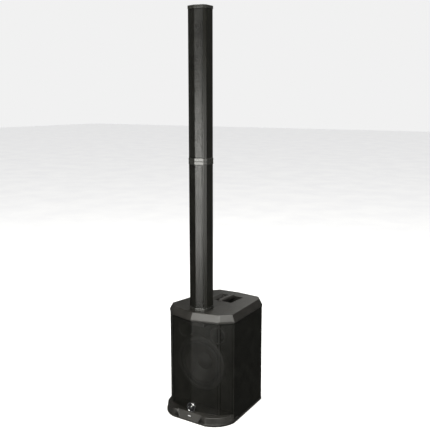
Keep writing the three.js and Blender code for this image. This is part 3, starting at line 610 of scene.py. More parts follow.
def thermoplastic_rubber():
    # Moulded feet: matt, dusty where they touch the floor.
    return grained(
        "thermoplastic_rubber", "#121211", "#201f1d",
        rough=(0.75, 0.88), cloud=12, grit=0.8, depth=0.05,
    )


def chromed_abs():
    # Decorative chrome over ABS: a mirror that is a little hazed by handling.
    return rubbed_metal(
        "chromed_abs", "#d6d7d9", "#e6e7e8",
        rough=(0.12, 0.22), cloud=9,
    )


def black_enamel():
    # Stoved enamel on the badge's field: glossy and level.
    return grained(
        "black_enamel", "#0c0c0d", "#121213",
        rough=(0.12, 0.2), cloud=8, grit=0.8, depth=0.003, Coat_Weight=0.6,
    )


def smoked_polycarbonate():
    # Smoked polycarbonate round the lit bar: nearly black, level and glossy.
    return grained(
        "smoked_polycarbonate", "#0e0e0f", "#151516",
        rough=(0.12, 0.2), cloud=8, grit=0.8, depth=0.002, IOR=1.58,
    )


def lit_polycarbonate():
    # Opal polycarbonate with a white diode behind it: its glow varies a little in faint clouds.
    material, tree, bsdf = new_material("lit_polycarbonate", Roughness=0.25, IOR=1.58)
    glow = vary(tree, noise_at(tree, 6), 0.28, 0.38)
    bsdf.inputs["Base Color"].default_value = linear("#8b8b88")
    bsdf.inputs["Emission Color"].default_value = linear("#f4f6ff")
    tree.links.new(glow, bsdf.inputs["Emission Strength"])
    return material


def tinted_diode(name, colour):
    # A 3 mm diode's tinted epoxy: clear, unlit, with a faint inner cloud.
    material, tree, bsdf = new_material(name, Roughness=0.15, IOR=1.54, Coat_Weight=0.3)
    cloud = vary(tree, noise_at(tree, 2), 0, 1)
    shade = linear(colour)
    deep = [0.6 * value for value in shade[:3]]
    paint(tree, bsdf, cloud, deep, shade)
    return material


def anodised_panel():
    # Black anodised sheet aluminium, bead-blasted first: dry, dark, fine metallic tooth.
    return grained(
        "black_anodised_sheet", "#242427", "#2d2d30",
        rough=(0.36, 0.44), cloud=50, grit=0.9, depth=0.015, Metallic=0.35,
    )


def anodised_extrusion():
    # Heat-sink extrusion, black anodised: die lines run up the fins.
    material, tree, bsdf = new_material("black_anodised_extrusion", Metallic=0.5)
    drawn = noise_at(tree, 1.5, 2, (1, 1, 0.02))
    paint(tree, bsdf, vary(tree, drawn, 0, 1), linear("#1c1c1e"), linear("#2a2a2c"))
    roughen(tree, bsdf, drawn, 0.3, 0.45)
    grain(tree, bsdf, drawn, 0.02)
    return material


def printed_ink():
    # White pad-printing ink: thin, flat, slightly uneven in cover.
    return grained(
        "white_pad_print", "#b9b9b6", "#d6d6d3",
        rough=(0.55, 0.65), cloud=4, grit=0.6, depth=0.002,
    )


def soft_touch_plastic():
    # Knob plastic with a soft-touch coat: very matt, picks up a grey bloom.
    return grained(
        "soft_touch_plastic", "#161616", "#242424",
        rough=(0.6, 0.7), cloud=6, grit=0.5, depth=0.01,
    )


def filled_nylon():
    # Glass-filled nylon of the sockets and the inlet: dark with faint flow marks.
    return grained(
        "glass_filled_nylon", "#161617", "#232324",
        rough=(0.32, 0.46), cloud=7, grit=0.7, depth=0.012,
    )


def nickel_plate():
    # Bright nickel on contact pins and blades: warm grey mirror, lightly rubbed.
    return rubbed_metal(
        "nickel_plate", "#a9a59c", "#c9c5bb",
        rough=(0.2, 0.34), cloud=1.5,
    )


def gold_flash():
    # A thin gold flash over nickelled brass studs.
    return rubbed_metal(
        "gold_flashed_brass", "#c79a3e", "#e2bd63",
        rough=(0.22, 0.36), cloud=2,
    )


def black_oxide():
    # Black-oxide screw steel: dark metal with brown-grey rubbed spots.
    return rubbed_metal(
        "black_oxide_steel", "#26262a", "#45444a",
        rough=(0.34, 0.5), cloud=1.2, metallic=0.9,
    )


def painted_basket_steel():
    # Pressed steel basket with a thin stoved coat.
    return grained(
        "stoved_basket_steel", "#191919", "#212121",
        rough=(0.4, 0.5), cloud=30, grit=1.0, depth=0.01,
    )


def sintered_ferrite():
    # Sintered ferrite: dull charcoal with tiny pores.
    return grained(
        "sintered_ferrite", "#2b2b2d", "#38383a",
        rough=(0.6, 0.75), cloud=14, grit=0.8, depth=0.05,
    )


def resined_cloth():
    # Woven cotton stiffened with resin: threads about 1.2 mm wide,
    # straw brown.
    material, tree, bsdf = new_material("resined_spider_cloth", Roughness=0.85)
    place = add(tree, "ShaderNodeTexCoord").outputs["Object"]
    wave = {"Vector": place, "Scale": wave_scale(1.2), "Distortion": 0.4}
    warp = add(tree, "ShaderNodeTexWave", wave, bands_direction="X").outputs["Fac"]
    weft = add(tree, "ShaderNodeTexWave", wave, bands_direction="Z").outputs["Fac"]
    threads = add(tree, "ShaderNodeMath", {0: warp, 1: weft}, operation="MULTIPLY").outputs[0]
    paint(tree, bsdf, threads, linear("#7d6034"), linear("#b3925a"))
    grain(tree, bsdf, threads, 0.2)
    return material


def enamelled_copper():
    # Enamelled copper wire wound on the former: real turns of 0.4 mm,
    # drawn four times as coarse.
    material, tree, bsdf = new_material("enamelled_copper_wire", Metallic=1.0, Roughness=0.3)
    place = add(tree, "ShaderNodeTexCoord").outputs["Object"]
    wave = {"Vector": place, "Scale": wave_scale(0.8)}
    turns = add(tree, "ShaderNodeTexWave", wave, bands_direction="Y").outputs["Fac"]
    paint(tree, bsdf, turns, linear("#7a3c1c"), linear("#c8743e"))
    grain(tree, bsdf, turns, 0.15)
    return material


def solder_mask():
    # Green solder mask over woven glass: glossy, with pads showing as lighter specks.
    return grained(
        "green_solder_mask", "#123d24", "#1d5a36",
        rough=(0.25, 0.4), cloud=5, grit=0.8, depth=0.02, Coat_Weight=0.2,
    )


def braided_sleeve():
    # Braided nylon sleeve round the column's wires: diagonal strands
    # about 2 mm wide.
    material, tree, bsdf = new_material("braided_nylon_sleeve", Roughness=0.7)
    place = add(tree, "ShaderNodeTexCoord").outputs["Object"]
    turned_place = add(tree, "ShaderNodeMapping", {"Vector": place, "Rotation": (0.785, 0, 0.785)})
    wave = {"Vector": turned_place.outputs[0], "Scale": wave_scale(2)}
    strands = add(tree, "ShaderNodeTexWave", wave).outputs["Fac"]
    paint(tree, bsdf, strands, linear("#0e0e0f"), linear("#262628"))
    grain(tree, bsdf, strands, 0.3)
    return material


def studio_floor():
    # Matt seamless paper: pale and even, with the faintest mottling.
    material, tree, bsdf = new_material("seamless_paper", Roughness=0.9)
    mottling = vary(tree, noise_at(tree, 500), 0, 1)
    paint(tree, bsdf, mottling, linear("#f3f3f3"), linear("#f8f8f7"))
    return material


made = {}


def material(recipe):
    """Makes each material once."""
    if recipe not in made:
        made[recipe] = recipe()
    return made[recipe]


def dress(node, recipe):
    """Gives a CAD node that stays shown its material."""
    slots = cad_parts[node].data.materials
    slots.clear()
    slots.append(material(recipe))


# ---------------------------------------------------------------- sizes and colours to change


class ColumnPaLooks(bpy.types.PropertyGroup):
    """Sizes of the details that are not in the CAD frame, and the colours of the main finishes."""

    front_pitch: bpy.props.FloatProperty(
        name="Front hole pitch",
        description="Distance between holes in the subwoofer's grille",
        default=6.4 * MM,
        min=6.2 * MM,
        precision=4,
        unit="LENGTH",
    )
    front_bar: bpy.props.FloatProperty(
        name="Front bar width",
        description="Steel left between two holes of the subwoofer's grille",
        default=1.7 * MM,
        precision=4,
        unit="LENGTH",
    )
    column_pitch: bpy.props.FloatProperty(
        name="Column hole pitch",
        description="Distance between holes in the column grilles",
        default=4.0 * MM,
        min=3.4 * MM,
        precision=4,
        unit="LENGTH",
    )
    column_bar: bpy.props.FloatProperty(
        name="Column bar width",
        description="Steel left between two holes of the column grilles",
        default=1.4 * MM,
        precision=4,
        unit="LENGTH",
    )
    cap_easing: bpy.props.FloatProperty(
        name="Cap edge rounding",
        description="Rounding of the top cap's ridges",
        default=2.4 * MM,
        precision=4,
        unit="LENGTH",
    )
    base_easing: bpy.props.FloatProperty(
        name="Base edge rounding",
        description="Rounding of the base moulding's ridges",
        default=2.0 * MM,
        precision=4,
        unit="LENGTH",
    )
    screw_radius: bpy.props.FloatProperty(
        name="Panel screw radius",
        description="Head radius of the rear panel's screws",
        default=3.6 * MM,
        precision=4,
        unit="LENGTH",
    )
    moulding_dark: bpy.props.FloatVectorProperty(
        name="Moulding, dark",
        description="The darker shade of the top cap and the base moulding",
        subtype="COLOR",
        default=linear("#13120e")[:3],
    )
    moulding_light: bpy.props.FloatVectorProperty(
        name="Moulding, light",
        description="The lighter shade of the top cap and the base moulding",
        subtype="COLOR",
        default=linear("#1c1a16")[:3],
    )
    cabinet_dark: bpy.props.FloatVectorProperty(
        name="Cabinet paint, dark",
        description="The darker shade of the cabinet's paint",
        subtype="COLOR",
        default=linear("#090905")[:3],
    )
    cabinet_light: bpy.props.FloatVectorProperty(
        name="Cabinet paint, light",
        description="The lighter shade of the cabinet's paint",
        subtype="COLOR",
        default=linear("#0f0f0a")[:3],
    )
    grille_dark: bpy.props.FloatVectorProperty(
        name="Grille, dark",
        description="The darker shade of the grilles' powder coat",
        subtype="COLOR",
        default=linear("#0c0c08")[:3],
    )
    grille_light: bpy.props.FloatVectorProperty(
        name="Grille, light",
        description="The lighter shade of the grilles' powder coat",
        subtype="COLOR",
        default=linear("#12120d")[:3],
    )
    column_dark: bpy.props.FloatVectorProperty(
        name="Column, dark",
        description="The darker shade of the column's powder coat",
        subtype="COLOR",
        default=linear("#0b0b07")[:3],
    )
    column_light: bpy.props.FloatVectorProperty(
        name="Column, light",
        description="The lighter shade of the column's powder coat",
        subtype="COLOR",
        default=linear("#11110c")[:3],
    )


class ColumnPaLight(bpy.types.PropertyGroup):
    """The studio's lamps, and the colour of the light in the room."""

    key_power: bpy.props.FloatProperty(
        name="Key power", description="Overhead softbox in front", default=500, unit="POWER"
    )
    front_power: bpy.props.FloatProperty(
        name="Front power", description="Low softbox in front", default=22.5, unit="POWER"
    )
    low_power: bpy.props.FloatProperty(
        name="Low power", description="Softbox just over the floor in front", default=17,
        unit="POWER",
    )
    corner_power: bpy.props.FloatProperty(
        name="Corner power", description="Low softbox at the front right", default=10, unit="POWER"
    )
    side_power: bpy.props.FloatProperty(
        name="Side power", description="Narrow softbox at the right", default=9, unit="POWER"
    )
    top_power: bpy.props.FloatProperty(
        name="Top power", description="Softbox over the object", default=90, unit="POWER"
    )
    back_power: bpy.props.FloatProperty(
        name="Back power", description="Softbox behind the object", default=16, unit="POWER"
    )
    lamp_colour: bpy.props.FloatVectorProperty(
        name="Lamp colour",
        description="Colour of the softboxes",
        subtype="COLOR",
        default=linear("#fffef8")[:3],
    )
    rear_power: bpy.props.FloatProperty(
        name="Rear power", description="Low softbox behind the object", default=5, unit="POWER"
    )
    room_light: bpy.props.FloatProperty(
        name="Room light", description="Strength of the even light all round", default=0.95
    )
    mirrored: bpy.props.FloatProperty(
        name="Mirrored room", description="Strength of the room that gloss mirrors", default=0.07
    )
    room_colour: bpy.props.FloatVectorProperty(
        name="Room colour",
        description="Colour of the even light all round",
        subtype="COLOR",
        default=linear("#fbfbfc")[:3],
    )


def looks():
    """The sizes and colours that the scene holds."""
    return bpy.context.scene.column_pa_looks


# ---------------------------------------------------------------- cabinet


class BuildCabinet(bpy.types.Operator):
    """Makes the cabinet's box, its top cap with the carrying handle and its base moulding"""

    bl_idname = "column_pa.build_cabinet"
    bl_label = "Cabinet"

    def execute(self, context):
        cap = softened("cabinet_cap", "top_cap", reach=looks().cap_easing / MM, segments=4)
        finish_piece(cap, "subwoofer", "moulded_plastic", material(moulded_abs), "top_cap")
        base = softened("cabinet_base", "base_moulding", reach=looks().base_easing / MM, segments=3)
        finish_piece(base, "subwoofer", "moulded_plastic", material(moulded_abs), "base_moulding")
        box = softened("cabinet_box", "cabinet_shell", reach=0.5, segments=2)
        finish_piece(box, "subwoofer", "cabinet_paint", material(textured_paint), "cabinet_shell")
        dress("front_baffle", textured_paint)
        return {"FINISHED"}


class BuildFeet(bpy.types.Operator):
    """Makes the four rubber feet, each with a screw in its recess"""

    bl_idname = "column_pa.build_feet"
    bl_label = "Rubber feet"

    def execute(self, context):
        for side in ("front_right", "front_left", "rear_right", "rear_left"):
            node = f"rubber_foot_{side}"
            low, high = box_mm(node)
            centre, radius = (low + high)[:2] / 2, (high - low)[0] / 2
            profile = eased(
                [
                    (0, 3, 0),
                    (radius - 9, 3, 0.5),
                    (radius - 8, 0, 0.8),
                    (radius - 1, 0, 1.2),
                    (radius, 3, 1),
                    (radius - 0.8, high[2], 0),
                    (0, high[2], 0),
                ],
                4,
                closed=False,
            )
            points, faces = turned(profile, (centre[0], centre[1]), 0, 48)
            standing = points[:, [0, 2, 1]]
            foot = close_up(make_mesh(f"foot_{side}", standing, [faces]))
            finish_piece(foot, "subwoofer", "foot_rubber", material(thermoplastic_rubber), node)
            head, rows = screw(centre, 3.1, 4.2, -1)
            standing = head[:, [0, 2, 1]]
            bolt = close_up(make_mesh(f"foot_screw_{side}", standing, [rows]), 40)
            finish_piece(bolt, "subwoofer", "basket_steel", material(black_oxide))
        return {"FINISHED"}


# ---------------------------------------------------------------- grilles


class BuildGrilles(bpy.types.Operator):
    """Makes the perforated sheets of the subwoofer and of both column sections"""

    bl_idname = "column_pa.build_grilles"
    bl_label = "Perforated grilles"

    def execute(self, context):
        size = looks()
        low, high = box_mm("front_grille")
        corners = plan_front("front_grille")
        steel = material(powder_coated_steel)
        panels = (("left", 0, 1, 1.4, 1.7), ("centre", 1, 3, 1.7, 1.7), ("right", 3, 4, 1.7, 1.4))
        for side, first, last, left_gap, right_gap in panels:
            part = shortened(corners[first : last + 1], left_gap, right_gap)
            sheet = perforated_sheet(
                f"front_grille_{side}", part, low[2] + 4, high[2] - 4, fold=6,
                pitch=size.front_pitch / MM, bar=size.front_bar / MM, thickness=1.2, sunk=0.3,
            )
            nodes = ("front_grille",) if side == "centre" else ()
            finish_piece(sheet, "subwoofer", "grille_steel", steel, *nodes)
            name = f"front_grille_{side}_edge"
            edge = grille_edge(name, part, low[2], high[2], fold=6, width=2.4, depth=1.9)
            finish_piece(edge, "subwoofer", "grille_steel", steel)
        for section in ("lower_column", "upper_column"):
            node = f"{section}_grille"
            low, high = box_mm(node)
            end = high[1] - 1.5
            corners = np.array([(low[0], end), (0, low[1]), (high[0], end)])
            corners = shortened(corners, 2.2, 2.2)
            sheet = perforated_sheet(
                f"{section}_grille_sheet", corners, low[2] + 2, high[2] - 2, fold=4,
                pitch=size.column_pitch / MM, bar=size.column_bar / MM, thickness=0.9, sunk=0.25,
            )
            finish_piece(sheet, section, "grille_steel", steel, node)
            name = f"{section}_grille_edge"
            edge = grille_edge(name, corners, low[2], high[2], fold=4, width=2.0, depth=1.4)
            finish_piece(edge, section, "grille_steel", steel)
        return {"FINISHED"}


# ---------------------------------------------------------------- woofer and ports


SURROUND_SECTORS = 12


def surround_sector(name, index, inner, outer):
    """One sector of the surround's half roll: radius and depth follow half an ellipse between
    the cone's edge and the flange, with a wall of even thickness, and both ends are closed."""
    wall, rise, flat, seat = 1.3, 8.0, 7.0, -6.1
    roll_end = outer - flat
    middle, half = (inner + roll_end) / 2, (roll_end - inner) / 2
    steps = 15
    turn = np.linspace(math.pi, 0, steps)
    front = np.stack([middle + half * np.cos(turn), seat - rise * np.sin(turn)], -1)
    back = np.stack(
        [middle + (half - wall) * np.cos(turn), seat + wall - rise * np.sin(turn)], -1
    )
    back[0, 0], back[-1, 0] = inner, roll_end
    flange = np.array([(outer, seat), (outer, seat + wall)])
    profile = np.concatenate([front, flange, back[::-1]])
    span = 2 * math.pi / SURROUND_SECTORS
    angle = np.linspace(index * span, (index + 1) * span, 9)
    points = np.stack(
        [
            WOOFER_CENTRE[0] + profile[:, :1] * np.cos(angle),
            BAFFLE_FRONT + profile[:, 1:] * np.ones(len(angle)),
            WOOFER_CENTRE[1] + profile[:, :1] * np.sin(angle),
        ],
        -1,
    ).reshape(-1, 3)
    count = len(profile)
    sides = grid_faces(count, len(angle), wrap_rows=True)
    strip = np.arange(steps - 1)
    across = np.stack([strip, strip + 1, count - 2 - strip, count - 1 - strip], -1)
    brim = np.array([[steps - 1, steps, steps + 1, count - steps]])
    ends = np.concatenate([across, brim])
    caps = [ends * len(angle), ends[:, ::-1] * len(angle) + len(angle) - 1]
    piece = make_mesh(name, points, [sides, *caps])
    return close_up(piece, 50), (index + 0.5) * span


class BuildWoofer(bpy.types.Operator):
    """Makes the woofer's cone, dust cap, surround, trim ring and basket"""

    bl_idname = "column_pa.build_woofer"
    bl_label = "Woofer"

    def execute(self, context):
        centre, front = WOOFER_CENTRE, BAFFLE_FRONT
        inner, outer = 97.3, 119.0  # radii between which the surround lies
        # The cone's wall: radius falls evenly from edge to neck while the depth grows by its
        # share to the power 0.9, so that the cone is a little steeper at its edge.
        share = np.linspace(0, 1, 24)
        wall = np.stack([97.0 - 69.5 * share, -6.2 + 44 * share**0.9], -1)
        profile = np.concatenate([wall, [(27.4, 38.6)], wall[::-1] + (0.4, 1.4)])
        cone = turned_piece("woofer_cone_paper", profile, centre, front, 128, sharp=60)
        finish_piece(cone, "woofer_diaphragm", "cone_paper", material(coated_paper), "woofer_cone")
        share = np.linspace(0, 1, 16)
        crown = np.stack([41 * share, 10.4 + 13 * share**2], -1)
        rim = np.array([(42.5, 25.0), (44.0, 26.2), (41.0, 28.0)])
        under = crown[::-1] + (0, 1.2)
        under[-1, 0] = 0
        profile = np.concatenate([crown, rim, under])
        cap = turned_piece("woofer_dust_cap_paper", profile, centre, front, 96, sharp=60)
        paper = material(coated_paper)
        finish_piece(cap, "woofer_diaphragm", "cone_paper", paper, "woofer_dust_cap")
        for index in range(SURROUND_SECTORS):
            name = f"woofer_surround_{index + 1:02d}"
            sector, angle = surround_sector(name, index, inner, outer)
            sector.data.materials.append(material(nitrile_rubber))
            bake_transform(sector)
            if index == 0:
                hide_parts("woofer_surround")
        ring = eased(
            [
                (121, -6.2, 0.8),
                (122.5, -10, 1.6),
                (137, -10, 3),
                (140, -6, 2.5),
                (140, -0.3, 0),
                (130.4, -0.3, 0),
                (130.4, -4.7, 0),
                (121, -4.7, 0),
            ]
        )
        trim = turned_piece("woofer_trim", ring, centre, front, 128)
        finish_piece(
            trim, "subwoofer", "moulded_plastic", material(satin_abs), "woofer_trim_ring"
        )
        around = np.radians(np.arange(8) * 45 + 22.5)
        places = centre + 130.5 * np.stack([np.cos(around), np.sin(around)], -1)
        heads = screws("woofer_screws", places, front - 9.9, 3.4)
        finish_piece(heads, "subwoofer", "basket_steel", material(black_oxide))
        basket = softened("woofer_basket_pressing", "woofer_basket", reach=0.8, segments=2)
        finish_piece(
            basket, "subwoofer", "basket_steel", material(painted_basket_steel), "woofer_basket"
        )
        dress("woofer_magnet", sintered_ferrite)
        dress("woofer_spider", resined_cloth)
        dress("woofer_voice_coil", enamelled_copper)
        return {"FINISHED"}


class BuildPorts(bpy.types.Operator):
    """Makes the two flared reflex ports"""

    bl_idname = "column_pa.build_ports"
    bl_label = "Reflex ports"

    def execute(self, context):
        for side in ("right", "left"):
            node = f"port_tube_{side}"
            centre = middle_mm(node)[[0, 2]]
            length = box_mm(node)[1][1] - BAFFLE_FRONT
            profile = eased(
                [
                    (37, length, 0),
                    (37, 14, 8),
                    (41.5, -4.3, 3.5),
                    (45, -3.2, 1.2),
                    (45, -0.3, 0),
                    (39.5, -0.3, 0),
                    (39.5, length, 0),
                ],
                6,
            )
            port = turned_piece(f"port_{side}", profile, centre, BAFFLE_FRONT, 96)
            finish_piece(port, "subwoofer", "moulded_plastic", material(satin_abs), node)
        return {"FINISHED"}


# ---------------------------------------------------------------- badge and power light


class BuildFrontTrim(bpy.types.Operator):
    """Makes the round badge with its plain bright mark, and the power light"""

    bl_idname = "column_pa.build_front_trim"
    bl_label = "Badge and light"

    def execute(self, context):
        low, high = box_mm("front_badge")
        centre, face, radius = middle_mm("front_badge")[[0, 2]], low[1], (high - low)[0] / 2
        seat = 10.0  # depth that is then trimmed to the grille's ridge
        field = [(0, 1.9, 0), (radius - 3.2, 1.9, 0.2), (radius - 3.2, seat, 0), (0, seat, 0)]
        plate = turned_piece("badge_field", eased(field, 3, closed=False), centre, face, 64)
        self.trim_to_ridge(plate)
        finish_piece(plate, "subwoofer", "badge_chrome", material(black_enamel), "front_badge")
        rim = eased(
            [
                (radius - 3.6, 2.2, 0.6),
                (radius - 2.6, 0, 1.2),
                (radius, 0.8, 1.0),
                (radius, seat, 0),
                (radius - 3.6, seat, 0),
            ]
        )
        bezel = turned_piece("badge_rim", rim, centre, face, 96)
        self.trim_to_ridge(bezel)
        finish_piece(bezel, "subwoofer", "badge_chrome", material(chromed_abs))
        share = np.linspace(0, 1, 10)
        dome = np.stack([9.5 * share, 0.2 + 2.3 * share**2], -1)
        pip = np.concatenate([dome, [(9.5, 3.0), (0, 3.0)]])
        mark = turned_piece("badge_mark", pip, centre, face, 48)
        finish_piece(mark, "subwoofer", "badge_chrome", material(chromed_abs))
        window = softened("power_window", "power_light_lens", reach=0.5, segments=2)
        finish_piece(
            window, "subwoofer", "light_lens", material(smoked_polycarbonate), "power_light_lens"
        )
        window_points = node_points("power_light_lens")
        foot = window_points[np.argmin(window_points[:, 1])]
        head = window_points[np.argmax(window_points[:, 2])]
        half, rise, reach = 8.6, 1.8, 1.6  # of the lit bar: half width, half height, corners
        middle = (foot[2] + head[2]) / 2
        outline = eased(
            [
                (-half, middle - rise, reach),
                (half, middle - rise, reach),
                (half, middle + rise, reach),
                (-half, middle + rise, reach),
            ]
        )
        points, faces = slab(outline, foot[1] - 0.25, foot[1] + 1, (0, 2, 1))
        lean = (head[1] - foot[1]) / (head[2] - foot[2])
        points[:, 1] += lean * (points[:, 2] - foot[2])
        lens = close_up(make_mesh("power_lens", points, [faces]), 40)
        finish_piece(lens, "subwoofer", "light_lens", material(lit_polycarbonate))
        dress("power_light_board", solder_mask)
        return {"FINISHED"}

    @staticmethod
    def trim_to_ridge(piece):
        """Moves the back of a turned piece forward onto the grille's V: no point lies deeper
        than the outer sheet at its own x, less a small clearance."""
        corners = plan_front("front_grille")
        points = np.empty(3 * len(piece.data.vertices), np.float32)
        piece.data.vertices.foreach_get("co", points)
        points = points.reshape(-1, 3)
        limit = np.interp(points[:, 0] / MM, corners[:, 0], corners[:, 1]) - 0.2
        points[:, 1] = np.minimum(points[:, 1], limit * MM)
        piece.data.vertices.foreach_set("co", points.ravel())


# ---------------------------------------------------------------- column


class BuildColumn(bpy.types.Operator):
    """Makes the column's two extrusions, their collars, plugs and sockets"""

    bl_idname = "column_pa.build_column"
    bl_label = "Column sections"

    def execute(self, context):
        parts = (
            ("lower_column", "shell", "column_aluminium", powder_coated_aluminium, 1.0),
            ("lower_column", "foot", "collar_plastic", polished_abs, 0.6),
            ("lower_column", "head", "collar_plastic", polished_abs, 0.6),
            ("lower_column", "plug", "collar_plastic", filled_nylon, 1.5),
            ("upper_column", "shell", "column_aluminium", powder_coated_aluminium, 1.0),
            ("upper_column", "foot", "collar_plastic", polished_abs, 0.6),
            ("upper_column", "cap", "collar_plastic", polished_abs, 0.6),
            ("upper_column", "plug", "collar_plastic", filled_nylon, 1.5),
        )
        for body, part, slot, recipe, reach in parts:
            node = f"{body}_{part}"
            piece = softened(f"{node}_finished", node, reach=reach, segments=3)
            finish_piece(piece, body, slot, material(recipe), node)
        dress("lower_column_contacts", gold_flash)
        dress("column_socket_contacts", gold_flash)
        dress("lower_column_loom", braided_sleeve)
        dress("upper_column_baffle", nitrile_rubber)
        return {"FINISHED"}


ARRAY_COUNT = 8


class BuildArray(bpy.types.Operator):
    """Makes the column's eight small loudspeakers, each with its frame, roll, cone and cap"""

    bl_idname = "column_pa.build_array"
    bl_label = "Column loudspeakers"

    def execute(self, context):
        turn = np.linspace(math.pi, 0, 9)
        roll = np.stack([25.3 + 2.7 * np.cos(turn), -0.4 - 2.2 * np.sin(turn)], -1)
        share = np.linspace(1, 0, 8)
        cap = np.stack([9 * share, 6.4 - 3.4 * (1 - share**2)], -1)
        frame_line = eased(
            [(33, 2.6, 0), (33, 0.3, 0.6), (29.5, -0.4, 0.8), (28.2, 1.2, 0.3)], 4, closed=False
        )
        front = np.concatenate([frame_line, roll[::-1], [(22.4, 0.2), (9.2, 7.6)], cap])
        back = np.array([(0, 44.0), (20, 44.0), (20, 30), (28, 8), (28, 2.6)])
        profile = np.concatenate([front[::-1], back[::-1]])
        for number in range(1, ARRAY_COUNT + 1):
            node = f"column_driver_{number}"
            face = box_mm(node)[0][1] + 0.4
            centre = middle_mm(node)[[0, 2]]
            unit = turned_piece(f"array_unit_{number}", profile, centre, face, 48)
            finish_piece(unit, "upper_column", "cone_paper", material(coated_paper), node)
            around = np.radians([45, 135, 225, 315])
            places = centre + 30.6 * np.stack([np.cos(around), np.sin(around)], -1)
            heads = screws(f"array_screws_{number}", places, face, 1.6)
            finish_piece(heads, "upper_column", "basket_steel", material(black_oxide))
        return {"FINISHED"}


# ---------------------------------------------------------------- rear panel


class BuildRearPanel(bpy.types.Operator):
    """Makes the amplifier's panel with its heat sink, screws and printed marks"""

    bl_idname = "column_pa.build_rear_panel"
    bl_label = "Rear panel"

    def execute(self, context):
        low, high = box_mm("amp_panel")
        plate = softened("panel_plate", "amp_panel", reach=0.5, segments=2)
        finish_piece(plate, "subwoofer", "panel_aluminium", material(anodised_panel), "amp_panel")
        sink = softened("panel_heat_sink", "heat_sink", reach=0.6, segments=3)
        finish_piece(
            sink, "subwoofer", "heat_sink_aluminium", material(anodised_extrusion), "heat_sink"
        )
        margin = 7.0
        columns = np.linspace(low[0] + margin, high[0] - margin, 3)
        rows = np.linspace(low[2] + margin, high[2] - margin, 4)
        ends = rows[[0, -1]]
        places = [(x, z) for x in columns for z in rows if x != columns[1] or z in ends]
        heads = screws("panel_screws", places, high[1], looks().screw_radius / MM, 1)
        finish_piece(heads, "subwoofer", "basket_steel", material(black_oxide))
        self.print_marks(high[1])
        for node in ("amplifier_board", "control_board", "power_supply"):
            dress(node, solder_mask)
        return {"FINISHED"}

    @staticmethod
    def print_marks(face):
        """Printed marks, 0.12 mm thick: a ring of eleven strokes from 150 degrees one way to
        150 the other round each knob, a thin line between the rows, and a ring round the
        mode button."""
        marks = []
        under, over = face - 0.05, face + 0.12
        sweep = np.radians(np.linspace(-150, 150, 11))
        for name in ("channel_1", "channel_2", "bass", "master"):
            centre = middle_mm(f"{name}_knob")[[0, 2]]
            for angle in sweep:
                out = np.array([math.sin(angle), math.cos(angle)])
                side = np.array([out[1], -out[0]]) * 0.35
                near, far = centre + 11.2 * out, centre + 14.0 * out
                outline = [near - side, far - side, far + side, near + side]
                marks.append(slab(outline, under, over, (0, 2, 1)))
        inlet, button = middle_mm("mains_inlet"), middle_mm("mode_button")
        knob, socket = middle_mm("bass_knob"), middle_mm("link_output_socket")
        half, width = 92, 0.7
        for level in (knob[2] - 22, socket[2] - 26, inlet[2] + 30):
            top = level + width
            outline = [(-half, level), (half, level), (half, top), (-half, top)]
            marks.append(slab(outline, under, over, (0, 2, 1)))
        ring = circle(7.6, button[[0, 2]], 32)
        inner = circle(7.0, button[[0, 2]], 32)
        marks.append(ring_plate(ring, inner, under, over))
        points, faces = joined(marks)
        ink = close_up(make_mesh("panel_print", points, faces), 30)
        finish_piece(ink, "subwoofer", "panel_aluminium", material(printed_ink))


def ring_plate(outer, inner, low, high):
    """A flat ring between two outlines in X and Z of equally many points, low to high in Y."""
    section = [(outer, low), (outer, high), (inner, high), (inner, low)]
    points = [np.column_stack([o[:, 0], np.full(len(o), y), o[:, 1]]) for o, y in section]
    return np.concatenate(points), grid_faces(4, len(outer), wrap_rows=True, wrap_columns=True)


